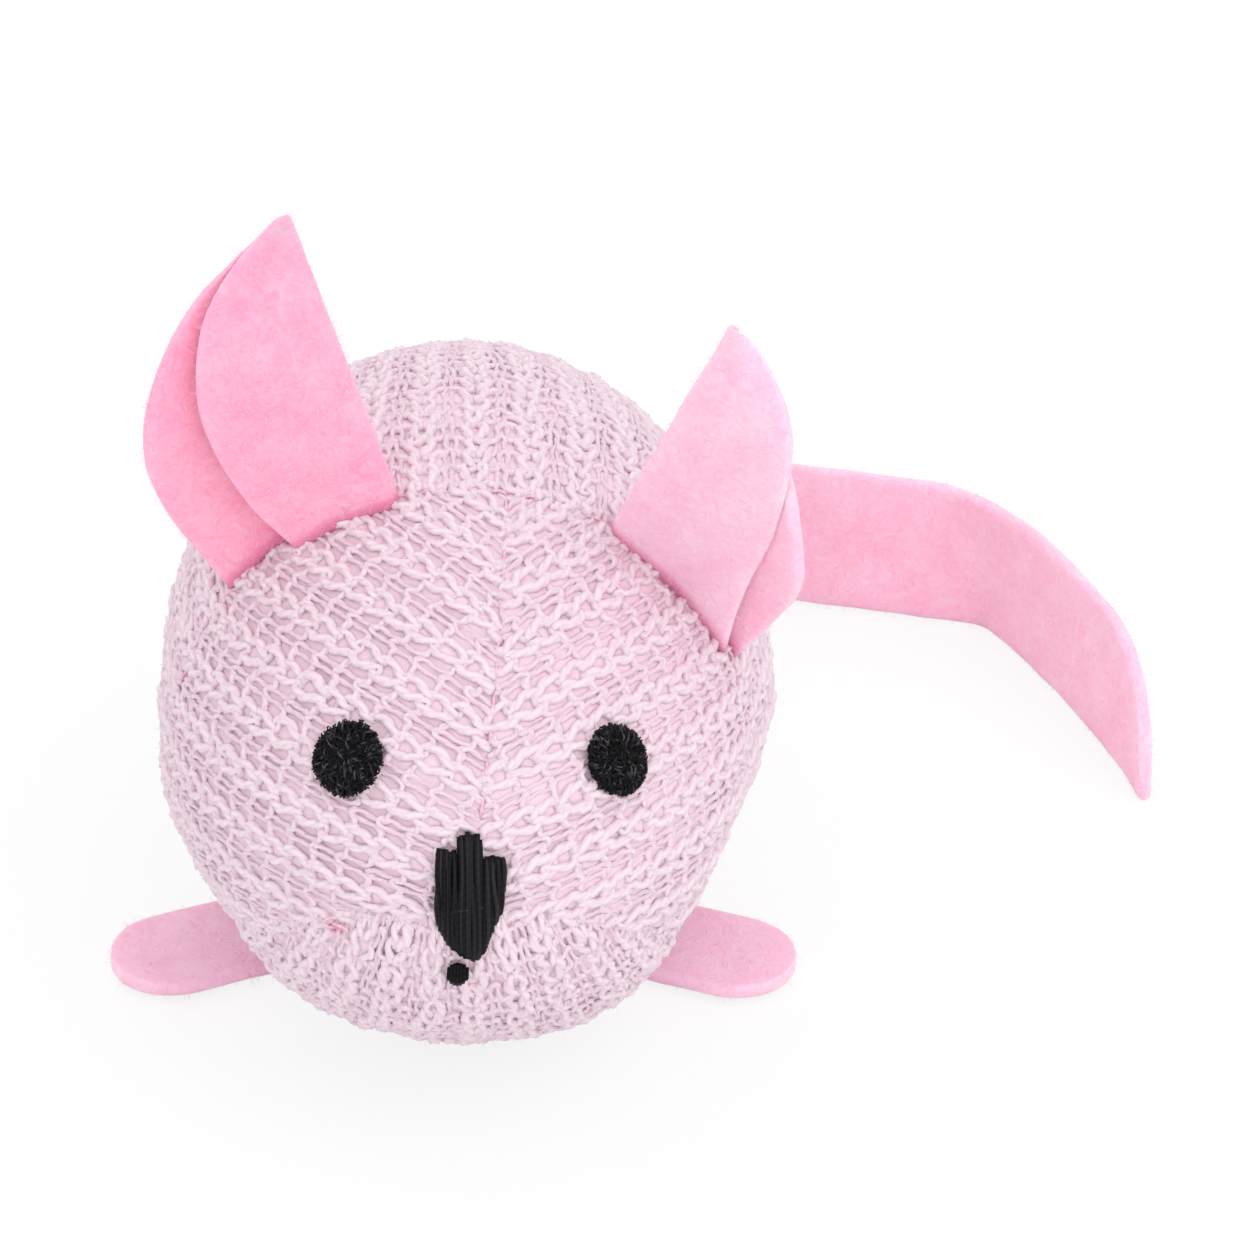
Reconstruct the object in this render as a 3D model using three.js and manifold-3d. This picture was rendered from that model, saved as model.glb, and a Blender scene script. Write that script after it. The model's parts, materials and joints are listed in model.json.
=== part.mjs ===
// A stuffed catnip mouse: four rib-knit panels sewn round a fibre filling with a herb sachet in
// its middle, folded felt ears, felt feet, a felt tail strip and an embroidered face.
// Millimetres, +Z up. The mouse faces -Y, so its own left is +X. The origin is the middle of the
// flat patch that the belly rests on.

import * as THREE from 'three';
import { mergeVertices } from 'three/addons/utils/BufferGeometryUtils.js';
import Module from 'manifold-3d';

// Sizes of the stuffed body
const bodyWidth = 61;
const bodyLength = 92;
const bodyHeight = 58.5;
const restDepth = 0.5; // how far the underside is pressed flat
const knitThickness = 2;
const feltThickness = 1.5;
const threadDiameter = 0.5;
const clearance = 0.3; // between pieces that touch

// Seams. The crown of the mouse lies rolled to its left, as a soft toy does.
const crownRoll = 9; // degrees, about the long axis
const earSeamSetback = 9.7; // in front of the middle, at the crown
const earSeamLean = 8.5; // degrees from upright
const bellySeamHeight = 12;
const bellySeamRise = 20; // from the sides up to the nose
const bellySeamSharpness = 2.2; // power of the rise

// Ears
const earFoldRadius = 0.95; // of the felt's middle, round the fold
const earOuterAngle = 63; // degrees from the crown to the outer end of the sewn edge
const earRight = {
  innerAngle: 22, // degrees from the crown to the fold's foot
  length: 29,
  frontFlap: 13.3,
  rearFlap: 19.1,
  frontWidest: 0.43, // share of the length where the flap is widest
  rearWidest: 0.32,
  frontFoot: 0.78, // width at the sewn edge as a share of the widest
  rearFoot: 0.94,
  frontTaper: 0.78, // power of the outline towards the tip
  rearTaper: 0.77,
  frontSpread: 17, // degrees that the front flap leans forward
  rearSpread: 8.7, // and the rear one
  outward: 20.7, // degrees that the fold leans
  forward: -6.8,
};
const earLeft = {
  innerAngle: 23,
  length: 31.4,
  frontFlap: 12.6,
  rearFlap: 17.1,
  frontWidest: 0.22,
  rearWidest: 0.14,
  frontFoot: 1,
  rearFoot: 0.99,
  frontTaper: 0.49,
  rearTaper: 1.38,
  frontSpread: 13.3,
  rearSpread: 9.4,
  outward: 18.9,
  forward: 22.5,
};
const earOpensFrom = -0.1; // share of the length where the flaps start to part
const earOpensBy = 0.5; // share of the length where they are fully parted
const earFootSpread = 0.2; // share of the front flap's spread that its sewn edge has
const earSwing = 20; // degrees each way

// Feet
const footWidth = 13;
const footReach = 38.3; // from the middle line to the tip
const footTuck = 8; // from the middle line to the hidden inner end
const footSplay = 24.6; // degrees forward
const footSetback = 4.6; // where the right foot's line crosses the middle line, behind the middle
const footDrawnIn = 1.6; // how much less the left foot reaches out
const footForward = 1.3; // how much further forward the left foot lies
const footLift = 20; // degrees that a foot bends up

// Tail
const tailWidth = 17;
const tailShift = 1.5; // to the mouse's left of the middle
const tailTuck = 14; // from the body's rear tip in to the hidden end
const tailHinge = 8; // from the body's rear tip in to where the tail bends
const tailRootRun = 2.5; // how far behind the body it runs before it turns
const tailRootRadius = 16;
const tailRootTurn = 104; // degrees
const tailLongRun = 37.3;
const tailKneeRadius = 3;
const tailKneeTurn = 48; // degrees
const tailTipRun = 36.5;
const tailTipTurn = 14; // degrees
const tailPoint = 12; // length of the rounded point
const tailPointHeight = 1; // left standing at the very tip
const tailSwingIn = 25; // degrees towards the flank
const tailSwingOut = 60; // degrees away from it

// Embroidery
const stitchHeight = 0.9;
const eyeDiameter = 7.2;
const eyeTurn = 19.3; // degrees from the middle of the face
const eyeShift = 3.4; // degrees that both eyes lie to the left, with the rolled face seam
const eyeRise = 20.5; // degrees above the body's middle
const eyeTilt = 0.85; // degrees that the right eye lies higher than this, and the left one lower
const noseWidth = 7.2;
const noseHeight = 13;
const noseTurn = 1.2; // degrees to the left of the body's front tip
const noseRise = 6.6; // degrees above the body's middle
const noseShoulder = 0.82; // height of the shoulders as a share of the nose
const noseNotch = 0.62; // height of the widest part as a share of the nose
const noseProng = 0.24; // half width of the top prong as a share of the nose
const mouthDiameter = 2.2;
const mouthGap = 0.5; // below the nose
const mouthShift = 1.4; // to the right of the nose
const knotRadius = 1.2;
const knotThread = 0.24;
const knotTurn = 23; // degrees round the body from the nose tip
const knotRoom = 3; // degrees round the body on each side of the knot that the thread leaves free

// Filling
const stuffingPart = 2; // plane where the two wads meet, behind the middle
const sachetWidth = 30;
const sachetLength = 20;
const sachetHeight = 24;
const sachetCloth = 0.6;

// Fineness of the round surfaces
const bodySegments = 40;
const fillingSegments = 16;
const outlineSegments = 10;
const threadSegments = 3;
const knotSteps = 40;
const knotSides = 4;
const foldSteps = 4;
const sweepStep = 5; // degrees
const seamStep = 6; // degrees between points of a seam
const tailStride = 6; // between stations of the tail's straight run
const tailBendStride = 3; // and of its root and its wide bend
const tailFineStride = 1.4; // and of its knee and its tip
const earLevels = [-0.3, -0.15, 0, 0.12, 0.25, 0.35, 0.47, 0.6, 0.72, 0.82, 0.9, 0.95, 0.985];
const flapShares = [1, 0.66, 0.33]; // of a flap's width, from its free edge to the fold
const solveSteps = 30;
const precision = 1e-4;

const wasm = await Module();
wasm.setup();

const halfWidth = bodyWidth / 2;
const halfLength = bodyLength / 2;
const halfHeight = (bodyHeight + restDepth) / 2;
const centre = new THREE.Vector3(0, 0, bodyHeight - halfHeight);
const seamGap = threadDiameter + 2 * clearance;
const threadEnd = 2 * seamGap; // how far a thread stops short of a seam that it meets
const farAway = 4 * Math.max(bodyWidth, bodyLength, bodyHeight);
const upward = new THREE.Vector3(0, 0, 1);
const rearward = new THREE.Vector3(0, 1, 0);
const sideward = new THREE.Vector3(1, 0, 0);
const radians = THREE.MathUtils.degToRad;

// Solids from geometry and back

function signedVolume(positions, indices) {
  let sixfold = 0;
  for (let i = 0; i < indices.length; i += 3) {
    const [a, b, c] = [0, 1, 2].map((k) => new THREE.Vector3().fromArray(positions, 3 * indices[i + k]));
    sixfold += a.dot(b.cross(c));
  }
  return sixfold / 6;
}

function toSolid(geometry) {
  const bare = new THREE.BufferGeometry();
  bare.setAttribute('position', geometry.getAttribute('position').clone());
  bare.setIndex(geometry.getIndex());
  const merged = mergeVertices(bare, precision);
  const positions = merged.getAttribute('position').array;
  const indices = Array.from(merged.getIndex().array);
  if (signedVolume(positions, indices) < 0) indices.reverse();
  return new wasm.Manifold(new wasm.Mesh({
    numProp: 3,
    vertProperties: new Float32Array(positions),
    triVerts: new Uint32Array(indices),
  }));
}

function toGeometry(solid) {
  const mesh = solid.getMesh();
  const geometry = new THREE.BufferGeometry();
  geometry.setAttribute('position', new THREE.BufferAttribute(new Float32Array(mesh.vertProperties), 3));
  geometry.setIndex(new THREE.BufferAttribute(new Uint32Array(mesh.triVerts), 1));
  geometry.computeVertexNormals();
  return geometry;
}

// A solid lofted through closed rings of points, with both end rings closed by strips
function loft(rings) {
  const count = rings[0].length;
  const positions = rings.flat().flatMap((point) => point.toArray());
  const indices = [];
  const quad = (a, b, c, d) => indices.push(a, b, c, a, c, d);
  for (let r = 0; r + 1 < rings.length; r += 1) {
    for (let i = 0; i < count; i += 1) {
      const next = (i + 1) % count;
      quad(r * count + i, r * count + next, (r + 1) * count + next, (r + 1) * count + i);
    }
  }
  const last = (rings.length - 1) * count;
  for (let i = 0; i + 1 < count / 2; i += 1) {
    const opposite = count - 1 - i;
    quad(i, opposite, opposite - 1, i + 1);
    quad(last + i, last + i + 1, last + opposite - 1, last + opposite);
  }
  const geometry = new THREE.BufferGeometry();
  geometry.setAttribute('position', new THREE.BufferAttribute(new Float32Array(positions), 3));
  geometry.setIndex(indices);
  return toSolid(geometry);
}

// The egg of the body and places on it

function ellipsoid(width, length, height, place, segments) {
  const geometry = new THREE.SphereGeometry(1, segments, segments / 2);
  geometry.scale(width / 2, length / 2, height / 2);
  geometry.translate(place.x, place.y, place.z);
  return toSolid(geometry);
}

function egg(growth, segments) {
  const swell = 2 * growth;
  return ellipsoid(bodyWidth + swell, bodyLength + swell, 2 * halfHeight + swell, centre, segments);
}

// The point of the egg, grown by growth, that lies in a direction from its centre
function onEgg(direction, growth) {
  const scaled = new THREE.Vector3(
    direction.x / (halfWidth + growth),
    direction.y / (halfLength + growth),
    direction.z / (halfHeight + growth),
  );
  return direction.clone().divideScalar(scaled.length()).add(centre);
}

function eggNormal(point) {
  const away = point.clone().sub(centre);
  return new THREE.Vector3(
    away.x / halfWidth ** 2,
    away.y / halfLength ** 2,
    away.z / halfHeight ** 2,
  ).normalize();
}

// A direction given by degrees to the left of the body's front tip and above it
function faceDirection(turn, rise) {
  return new THREE.Vector3(
    Math.cos(radians(rise)) * Math.sin(radians(turn)),
    -Math.cos(radians(rise)) * Math.cos(radians(turn)),
    Math.sin(radians(rise)),
  );
}

// Axes on the surface: sideways, upwards and straight out
function surfaceFrame(point) {
  const out = eggNormal(point);
  const up = upward.clone().addScaledVector(out, -upward.dot(out)).normalize();
  const side = up.clone().cross(out);
  return new THREE.Matrix4().makeBasis(side, up, out).setPosition(point);
}

// Everything on the side of a plane that its normal points to
function halfSpace(point, normal, offset) {
  const geometry = new THREE.BoxGeometry(farAway, farAway, farAway);
  geometry.translate(0, 0, farAway / 2 + offset);
  geometry.applyQuaternion(new THREE.Quaternion().setFromUnitVectors(upward, normal));
  geometry.translate(point.x, point.y, point.z);
  return toSolid(geometry);
}

// The body as it swings past a hinged piece, turned the other way round about the hinge
function sweptBody(hinge, fromAngle, toAngle) {
  const turns = Math.ceil((toAngle - fromAngle) / sweepStep);
  let swept = null;
  for (let i = 0; i <= turns; i += 1) {
    const angle = fromAngle + ((toAngle - fromAngle) * i) / turns;
    const geometry = toGeometry(egg(clearance, bodySegments));
    geometry.translate(-hinge.point.x, -hinge.point.y, -hinge.point.z);
    geometry.applyQuaternion(new THREE.Quaternion().setFromAxisAngle(hinge.axis, -radians(angle)));
    geometry.translate(hinge.point.x, hinge.point.y, hinge.point.z);
    const turned = toSolid(geometry);
    swept = swept ? swept.add(turned) : turned;
  }
  return swept;
}

// Seam surfaces

const earSeamNormal = rearward.clone().applyAxisAngle(sideward, -radians(earSeamLean));
const earSeamTop = new THREE.Vector3(0, -earSeamSetback, bodyHeight);
const faceSeamNormal = sideward.clone().applyAxisAngle(rearward, radians(crownRoll));

// Height of the belly seam at a place along the body
function bellySeam(y) {
  const forward = Math.max(0, -y / halfLength);
  return bellySeamHeight + bellySeamRise * forward ** bellySeamSharpness;
}

// The space below the belly seam, its border moved square to the seam by an offset
function belowBellySeam(offset) {
  const outline = new THREE.Shape();
  const reach = bodyLength;
  const step = reach / bodySegments;
  outline.moveTo(-reach, -farAway);
  for (let i = -bodySegments; i <= bodySegments; i += 1) {
    const y = i * step;
    const slope = (bellySeam(y + step / 2) - bellySeam(y - step / 2)) / step;
    const square = offset / Math.hypot(1, slope);
    outline.lineTo(y - slope * square, bellySeam(y) + square);
  }
  outline.lineTo(reach, -farAway);
  const geometry = new THREE.ExtrudeGeometry(outline, { depth: farAway, bevelEnabled: false });
  geometry.translate(0, 0, -farAway / 2);
  geometry.applyMatrix4(new THREE.Matrix4().makeBasis(rearward, upward, sideward));
  return toSolid(geometry);
}

// Threads: a tube along points in the middle of the knit wall

const threadDepth = -knitThickness / 2;

function threadAlong(points) {
  const section = new THREE.Shape();
  section.absarc(0, 0, threadDiameter / 2, 0, 2 * Math.PI);
  return toSolid(new THREE.ExtrudeGeometry(section, {
    steps: points.length - 1,
    curveSegments: threadSegments,
    bevelEnabled: false,
    extrudePath: new THREE.CatmullRomCurve3(points),
  }));
}

// The point of the ear seam at an angle from the crown, positive to the left
function earSeamPoint(angle, growth) {
  const start = centre.clone();
  start.addScaledVector(earSeamNormal, earSeamTop.clone().sub(centre).dot(earSeamNormal));
  const ray = upward.clone().applyAxisAngle(sideward, -radians(earSeamLean));
  ray.multiplyScalar(Math.cos(radians(angle)));
  ray.addScaledVector(sideward, Math.sin(radians(angle)));
  let far = 0;
  for (let i = 0; i < solveSteps; i += 1) {
    const there = start.clone().addScaledVector(ray, far).sub(centre);
    far += onEgg(there, growth).sub(centre).length() - there.length();
  }
  return start.addScaledVector(ray, far);
}

function earSeamPath() {
  const points = [];
  for (let angle = -180; angle <= 180; angle += seamStep) {
    const point = earSeamPoint(angle, threadDepth);
    if (point.z > bellySeam(point.y) + threadEnd) points.push(point);
  }
  return points;
}

function faceSeamPath() {
  const points = [];
  for (let rise = -90; rise <= 90; rise += seamStep) {
    const direction = faceDirection(0, rise).applyAxisAngle(rearward, radians(crownRoll));
    const point = onEgg(direction, threadDepth);
    const before = point.clone().sub(earSeamTop).dot(earSeamNormal) < -threadEnd;
    if (before && point.z > bellySeam(point.y) + threadEnd) points.push(point);
  }
  return points;
}

// A point of the belly seam at degrees round the body from the nose tip, positive to the left
function bellySeamPoint(turn, growth) {
  const reach = halfLength + growth;
  const inside = (y) => 1 - (y / reach) ** 2 - ((bellySeam(y) - centre.z) / (halfHeight + growth)) ** 2;
  const end = (sign) => {
    let y = 0;
    for (let step = reach / 2; step > precision; step /= 2) {
      if (inside(y + sign * step) > 0) y += sign * step;
    }
    return y;
  };
  const front = end(-1);
  const rear = end(1);
  const y = (front + rear) / 2 - ((rear - front) / 2) * Math.cos(radians(turn));
  const across = (halfWidth + growth) * Math.sqrt(Math.max(0, inside(y)));
  return new THREE.Vector3(Math.sin(radians(turn)) < 0 ? -across : across, y, bellySeam(y));
}

// One loop round the body that starts and ends beside the closing knot
function bellySeamPath() {
  const points = [];
  const from = knotRoom - knotTurn;
  const upTo = 360 - knotRoom - knotTurn;
  for (let turn = from; turn <= upTo; turn += seamStep) {
    points.push(bellySeamPoint(turn, threadDepth));
  }
  return points;
}

// Felt pieces

// Width of an ear's flap at a share of its length, as a share of the widest
function earOutline(share, widest, foot, taper) {
  if (share < widest) return 1 - (1 - foot) * ((widest - share) / widest) ** 2;
  return Math.max(0, 1 - ((share - widest) / (1 - widest)) ** 2) ** taper;
}

function earHinge(side, shape) {
  const point = earSeamPoint(side * shape.innerAngle + crownRoll, 0);
  const outer = earSeamPoint(side * earOuterAngle + crownRoll, 0);
  return { point, axis: outer.sub(point).normalize().multiplyScalar(side) };
}

// A leaf of felt folded lengthwise: each ring runs out along the front flap's edge, round the
// fold and out along the rear flap, then back along the inside
function ear(side, shape) {
  const hinge = earHinge(side, shape);
  const along = upward.clone().applyAxisAngle(rearward, side * radians(shape.outward));
  along.applyAxisAngle(sideward, radians(shape.forward));
  const sewn = hinge.axis.clone().multiplyScalar(side);
  const outward = sewn.addScaledVector(along, -sewn.dot(along)).normalize();
  const frontward = along.clone().cross(outward).multiplyScalar(-side);
  const rings = earLevels.map((share) => {
    const foot = hinge.point.clone().addScaledVector(along, share * shape.length);
    foot.addScaledVector(outward, earFoldRadius + feltThickness / 2);
    const opening = THREE.MathUtils.smoothstep(share, earOpensFrom, earOpensBy);
    const front = radians(shape.frontSpread) * (earFootSpread + (1 - earFootSpread) * opening);
    const rear = radians(shape.rearSpread) * opening;
    const polar = (angle, radius) => outward.clone().multiplyScalar(radius * Math.cos(angle))
      .addScaledVector(frontward, radius * Math.sin(angle));
    const outside = [];
    const inside = [];
    const add = (middle, angle) => {
      outside.push(middle.clone().add(polar(angle, feltThickness / 2)).add(foot));
      inside.unshift(middle.clone().add(polar(angle, -feltThickness / 2)).add(foot));
    };
    const frontSide = front + Math.PI / 2;
    const rearSide = rear + 1.5 * Math.PI;
    const frontWidth = shape.frontFlap
      * earOutline(share, shape.frontWidest, shape.frontFoot, shape.frontTaper);
    const rearWidth = shape.rearFlap
      * earOutline(share, shape.rearWidest, shape.rearFoot, shape.rearTaper);
    for (const part of flapShares) {
      const reach = part * frontWidth;
      add(polar(frontSide, earFoldRadius).add(polar(front, reach)), frontSide);
    }
    for (let i = 0; i <= foldSteps; i += 1) {
      const angle = frontSide + ((rearSide - frontSide) * i) / foldSteps;
      add(polar(angle, earFoldRadius), angle);
    }
    for (const part of flapShares.toReversed()) {
      const reach = part * rearWidth;
      add(polar(rearSide, earFoldRadius).add(polar(rear, reach)), rearSide);
    }
    return [...outside, ...inside];
  });
  return loft(rings).subtract(sweptBody(hinge, -earSwing, earSwing));
}

function footDirection(side) {
  return new THREE.Vector3(side * Math.cos(radians(footSplay)), -Math.sin(radians(footSplay)), 0);
}

// Where a foot's line crosses the middle line
function footOrigin(side) {
  return new THREE.Vector3(0, side > 0 ? footSetback - footForward : footSetback, clearance);
}

// A foot bends where its upper face leaves the belly
function footHinge(side) {
  const direction = footDirection(side);
  const axis = new THREE.Vector3().crossVectors(direction, upward).normalize();
  const point = footOrigin(side).addScaledVector(upward, feltThickness / 2);
  const target = 2 * clearance + feltThickness;
  let reach = 0;
  for (let step = footReach / 2; step > precision; step /= 2) {
    const there = point.clone().addScaledVector(direction, reach + step);
    const level = 1 - (there.x / halfWidth) ** 2 - (there.y / halfLength) ** 2;
    if (centre.z - halfHeight * Math.sqrt(Math.max(0, level)) < target) reach += step;
  }
  return { point: point.addScaledVector(direction, reach), axis };
}

// A flat tongue with a round end, tucked under the belly and cut to its curve
function foot(side) {
  const half = footWidth / 2;
  const reach = side > 0 ? footReach - footDrawnIn : footReach;
  const tongue = new THREE.Shape();
  tongue.moveTo(footTuck, -half);
  tongue.lineTo(reach - half, -half);
  tongue.absarc(reach - half, 0, half, -Math.PI / 2, Math.PI / 2);
  tongue.lineTo(footTuck, half);
  const geometry = new THREE.ExtrudeGeometry(tongue, {
    depth: feltThickness,
    bevelEnabled: false,
    curveSegments: outlineSegments,
  });
  const direction = footDirection(side);
  const across = upward.clone().cross(direction);
  geometry.applyMatrix4(new THREE.Matrix4().makeBasis(direction, across, upward));
  const origin = footOrigin(side);
  geometry.translate(origin.x, origin.y, origin.z);
  return toSolid(geometry).subtract(sweptBody(footHinge(side), 0, footLift));
}

const tailBend = {
  point: new THREE.Vector3(tailShift, halfLength - tailHinge, clearance + tailWidth / 2),
  axis: upward,
};

// Stations along the tail: place on the floor, heading in radians from straight back, and length
function tailStations() {
  const stations = [];
  const here = new THREE.Vector3(tailShift, halfLength - tailTuck, clearance);
  let heading = 0;
  let length = 0;
  const run = (distance, turn, stride) => {
    const steps = Math.ceil(distance / stride);
    const bend = radians(turn) / steps;
    for (let i = 0; i < steps; i += 1) {
      heading += bend / 2;
      here.x += (distance / steps) * Math.sin(heading);
      here.y += (distance / steps) * Math.cos(heading);
      heading += bend / 2;
      length += distance / steps;
      stations.push({ place: here.clone(), heading, length });
    }
  };
  stations.push({ place: here.clone(), heading, length });
  run(tailTuck + tailRootRun, 0, tailBendStride);
  run(tailRootRadius * radians(tailRootTurn), tailRootTurn, tailBendStride);
  run(tailLongRun, 0, tailStride);
  run(tailKneeRadius * radians(tailKneeTurn), tailKneeTurn, tailFineStride);
  run(tailTipRun, tailTipTurn, tailFineStride);
  return stations;
}

// A strip of felt standing on its edge, its upper edge rounded down to a point at the tip
function tail() {
  const stations = tailStations();
  const total = stations.at(-1).length;
  const rings = stations.map(({ place, heading, length }) => {
    const pointed = Math.max(0, (length - total) / tailPoint + 1);
    const height = tailPointHeight + (tailWidth - tailPointHeight) * Math.sqrt(1 - pointed ** 2);
    const across = new THREE.Vector3(Math.cos(heading), -Math.sin(heading), 0);
    across.multiplyScalar(feltThickness / 2);
    const top = place.clone().addScaledVector(upward, height);
    return [
      place.clone().sub(across),
      top.clone().sub(across),
      top.clone().add(across),
      place.clone().add(across),
    ];
  });
  return loft(rings).subtract(sweptBody(tailBend, -tailSwingIn, tailSwingOut));
}

// Embroidery: a layer of stitches on the knit, cut out by a prism that stands on the surface

const stitchLayer = egg(clearance + stitchHeight, bodySegments).subtract(egg(clearance, bodySegments));

function stitched(outline, direction) {
  const depth = halfWidth / 2;
  const prism = new THREE.ExtrudeGeometry(outline, {
    depth: 2 * depth,
    bevelEnabled: false,
    curveSegments: outlineSegments,
  });
  prism.translate(0, 0, -depth);
  prism.applyMatrix4(surfaceFrame(onEgg(direction, 0)));
  return toSolid(prism).intersect(stitchLayer);
}

function disc(diameter) {
  const outline = new THREE.Shape();
  outline.absarc(0, 0, diameter / 2, 0, 2 * Math.PI);
  return outline;
}

// A shield of upright stitches: a prong at the top, shoulders, and a taper to the mouth
function noseOutline() {
  const half = noseWidth / 2;
  const low = -noseHeight / 2;
  const prong = noseProng * half;
  const shoulder = low + noseShoulder * noseHeight;
  const outline = new THREE.Shape();
  outline.moveTo(-prong, low);
  outline.lineTo(prong, low);
  outline.lineTo(half, low + noseNotch * noseHeight);
  outline.lineTo(half, shoulder);
  outline.lineTo(prong, shoulder);
  outline.lineTo(prong, -low);
  outline.lineTo(-prong, -low);
  outline.lineTo(-prong, shoulder);
  outline.lineTo(-half, shoulder);
  outline.lineTo(-half, low + noseNotch * noseHeight);
  return outline;
}

// The mouth is one stitch just below the nose
function mouthDirection() {
  const below = noseHeight / 2 + mouthGap + mouthDiameter / 2;
  const place = new THREE.Vector3(-mouthShift, -below, 0);
  place.applyMatrix4(surfaceFrame(onEgg(faceDirection(noseTurn, noseRise), 0)));
  return place.sub(centre);
}

function closingKnot() {
  const place = bellySeamPoint(-knotTurn, 0);
  const height = clearance + knotRadius / 2 + knotThread;
  const geometry = new THREE.TorusKnotGeometry(knotRadius, knotThread, knotSteps, knotSides);
  geometry.translate(0, 0, height);
  geometry.applyMatrix4(surfaceFrame(place));
  return toSolid(geometry);
}

// Assembly

const mouse = new THREE.Group();
mouse.name = 'catnip_mouse';

function add(name, solid, colour, roughness, hinge) {
  const material = new THREE.MeshStandardMaterial({ color: colour, roughness, metalness: 0 });
  const mesh = new THREE.Mesh(toGeometry(solid), material);
  mesh.name = name;
  if (hinge) mesh.userData.hinge = hinge;
  mouse.add(mesh);
}

const palePink = 0xedd3df;
const feltPink = 0xfbb9d5;
const threadPink = 0xe6a9c4;
const black = 0x1c191d;
const fibreWhite = 0xf2efe9;
const clothWhite = 0xe8e2d6;
const herbGreen = 0x7d8450;
const softRough = 0.95;
const threadRough = 0.8;

// Knit panels, cut from one shell along the seams
const floor = halfSpace(new THREE.Vector3(), upward, 0);
const shell = egg(0, bodySegments).subtract(egg(-knitThickness, bodySegments)).intersect(floor);
const upperShell = shell.subtract(belowBellySeam(seamGap / 2));
const face = upperShell.intersect(halfSpace(earSeamTop, earSeamNormal.clone().negate(), seamGap / 2));
const back = upperShell.intersect(halfSpace(earSeamTop, earSeamNormal, seamGap / 2));
const leftFace = face.intersect(halfSpace(centre, faceSeamNormal, seamGap / 2));
const rightFace = face.intersect(halfSpace(centre, faceSeamNormal.clone().negate(), seamGap / 2));
add('face_panel_left', leftFace, palePink, softRough);
add('face_panel_right', rightFace, palePink, softRough);
add('back_panel', back, palePink, softRough);
add('belly_panel', shell.intersect(belowBellySeam(-seamGap / 2)), palePink, softRough);

// Sewing thread
add('face_seam_thread', threadAlong(faceSeamPath()), threadPink, threadRough);
add('ear_seam_thread', threadAlong(earSeamPath()), threadPink, threadRough);
add('belly_seam_thread', threadAlong(bellySeamPath()), threadPink, threadRough);
add('closing_knot', closingKnot(), threadPink, threadRough);

// Filling
const sachetPlace = new THREE.Vector3(0, stuffingPart, centre.z);
const sachet = (growth) => ellipsoid(
  sachetWidth + 2 * growth,
  sachetLength + 2 * growth,
  sachetHeight + 2 * growth,
  sachetPlace,
  fillingSegments,
);
const wad = egg(-knitThickness - clearance, fillingSegments).subtract(sachet(clearance));
const pouch = sachet(0).subtract(sachet(-sachetCloth));
const forward = rearward.clone().negate();
add('front_stuffing', wad.intersect(halfSpace(sachetPlace, forward, clearance / 2)), fibreWhite, softRough);
add('rear_stuffing', wad.intersect(halfSpace(sachetPlace, rearward, clearance / 2)), fibreWhite, softRough);
add('sachet_front', pouch.intersect(halfSpace(sachetPlace, forward, clearance / 2)), clothWhite, softRough);
add('sachet_back', pouch.intersect(halfSpace(sachetPlace, rearward, clearance / 2)), clothWhite, softRough);
add('dried_catnip', sachet(-sachetCloth - clearance), herbGreen, softRough);

// Felt
add('ear_left', ear(1, earLeft), feltPink, softRough, earHinge(1, earLeft));
add('ear_right', ear(-1, earRight), feltPink, softRough, earHinge(-1, earRight));
add('foot_left', foot(1), feltPink, softRough, footHinge(1));
add('foot_right', foot(-1), feltPink, softRough, footHinge(-1));
add('tail', tail(), feltPink, softRough, tailBend);

// Embroidered face
const leftEye = stitched(disc(eyeDiameter), faceDirection(eyeShift + eyeTurn, eyeRise - eyeTilt));
const rightEye = stitched(disc(eyeDiameter), faceDirection(eyeShift - eyeTurn, eyeRise + eyeTilt));
add('eye_left', leftEye, black, threadRough);
add('eye_right', rightEye, black, threadRough);
add('nose', stitched(noseOutline(), faceDirection(noseTurn, noseRise)), black, threadRough);
add('mouth_stitch', stitched(disc(mouthDiameter), mouthDirection()), black, threadRough);

export default mouse;
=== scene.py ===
# %% [markdown]
# A stuffed catnip mouse
#
# The toy is four panels of stretched rib knit, sewn round a wad of fibre with a sachet of dried
# herb in its middle. Two folded leaves of felt make the ears, two felt tongues the feet and a felt
# strip the tail, and the face is embroidered in black thread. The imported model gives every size
# and hinge, so this lesson only dresses it: each cell adds one piece or one finish.

# %% Load the frame
import json
import math

import bmesh
import bpy
import numpy as np
from mathutils import Euler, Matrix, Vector, noise
from mathutils.bvhtree import BVHTree
from mathutils.kdtree import KDTree


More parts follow.
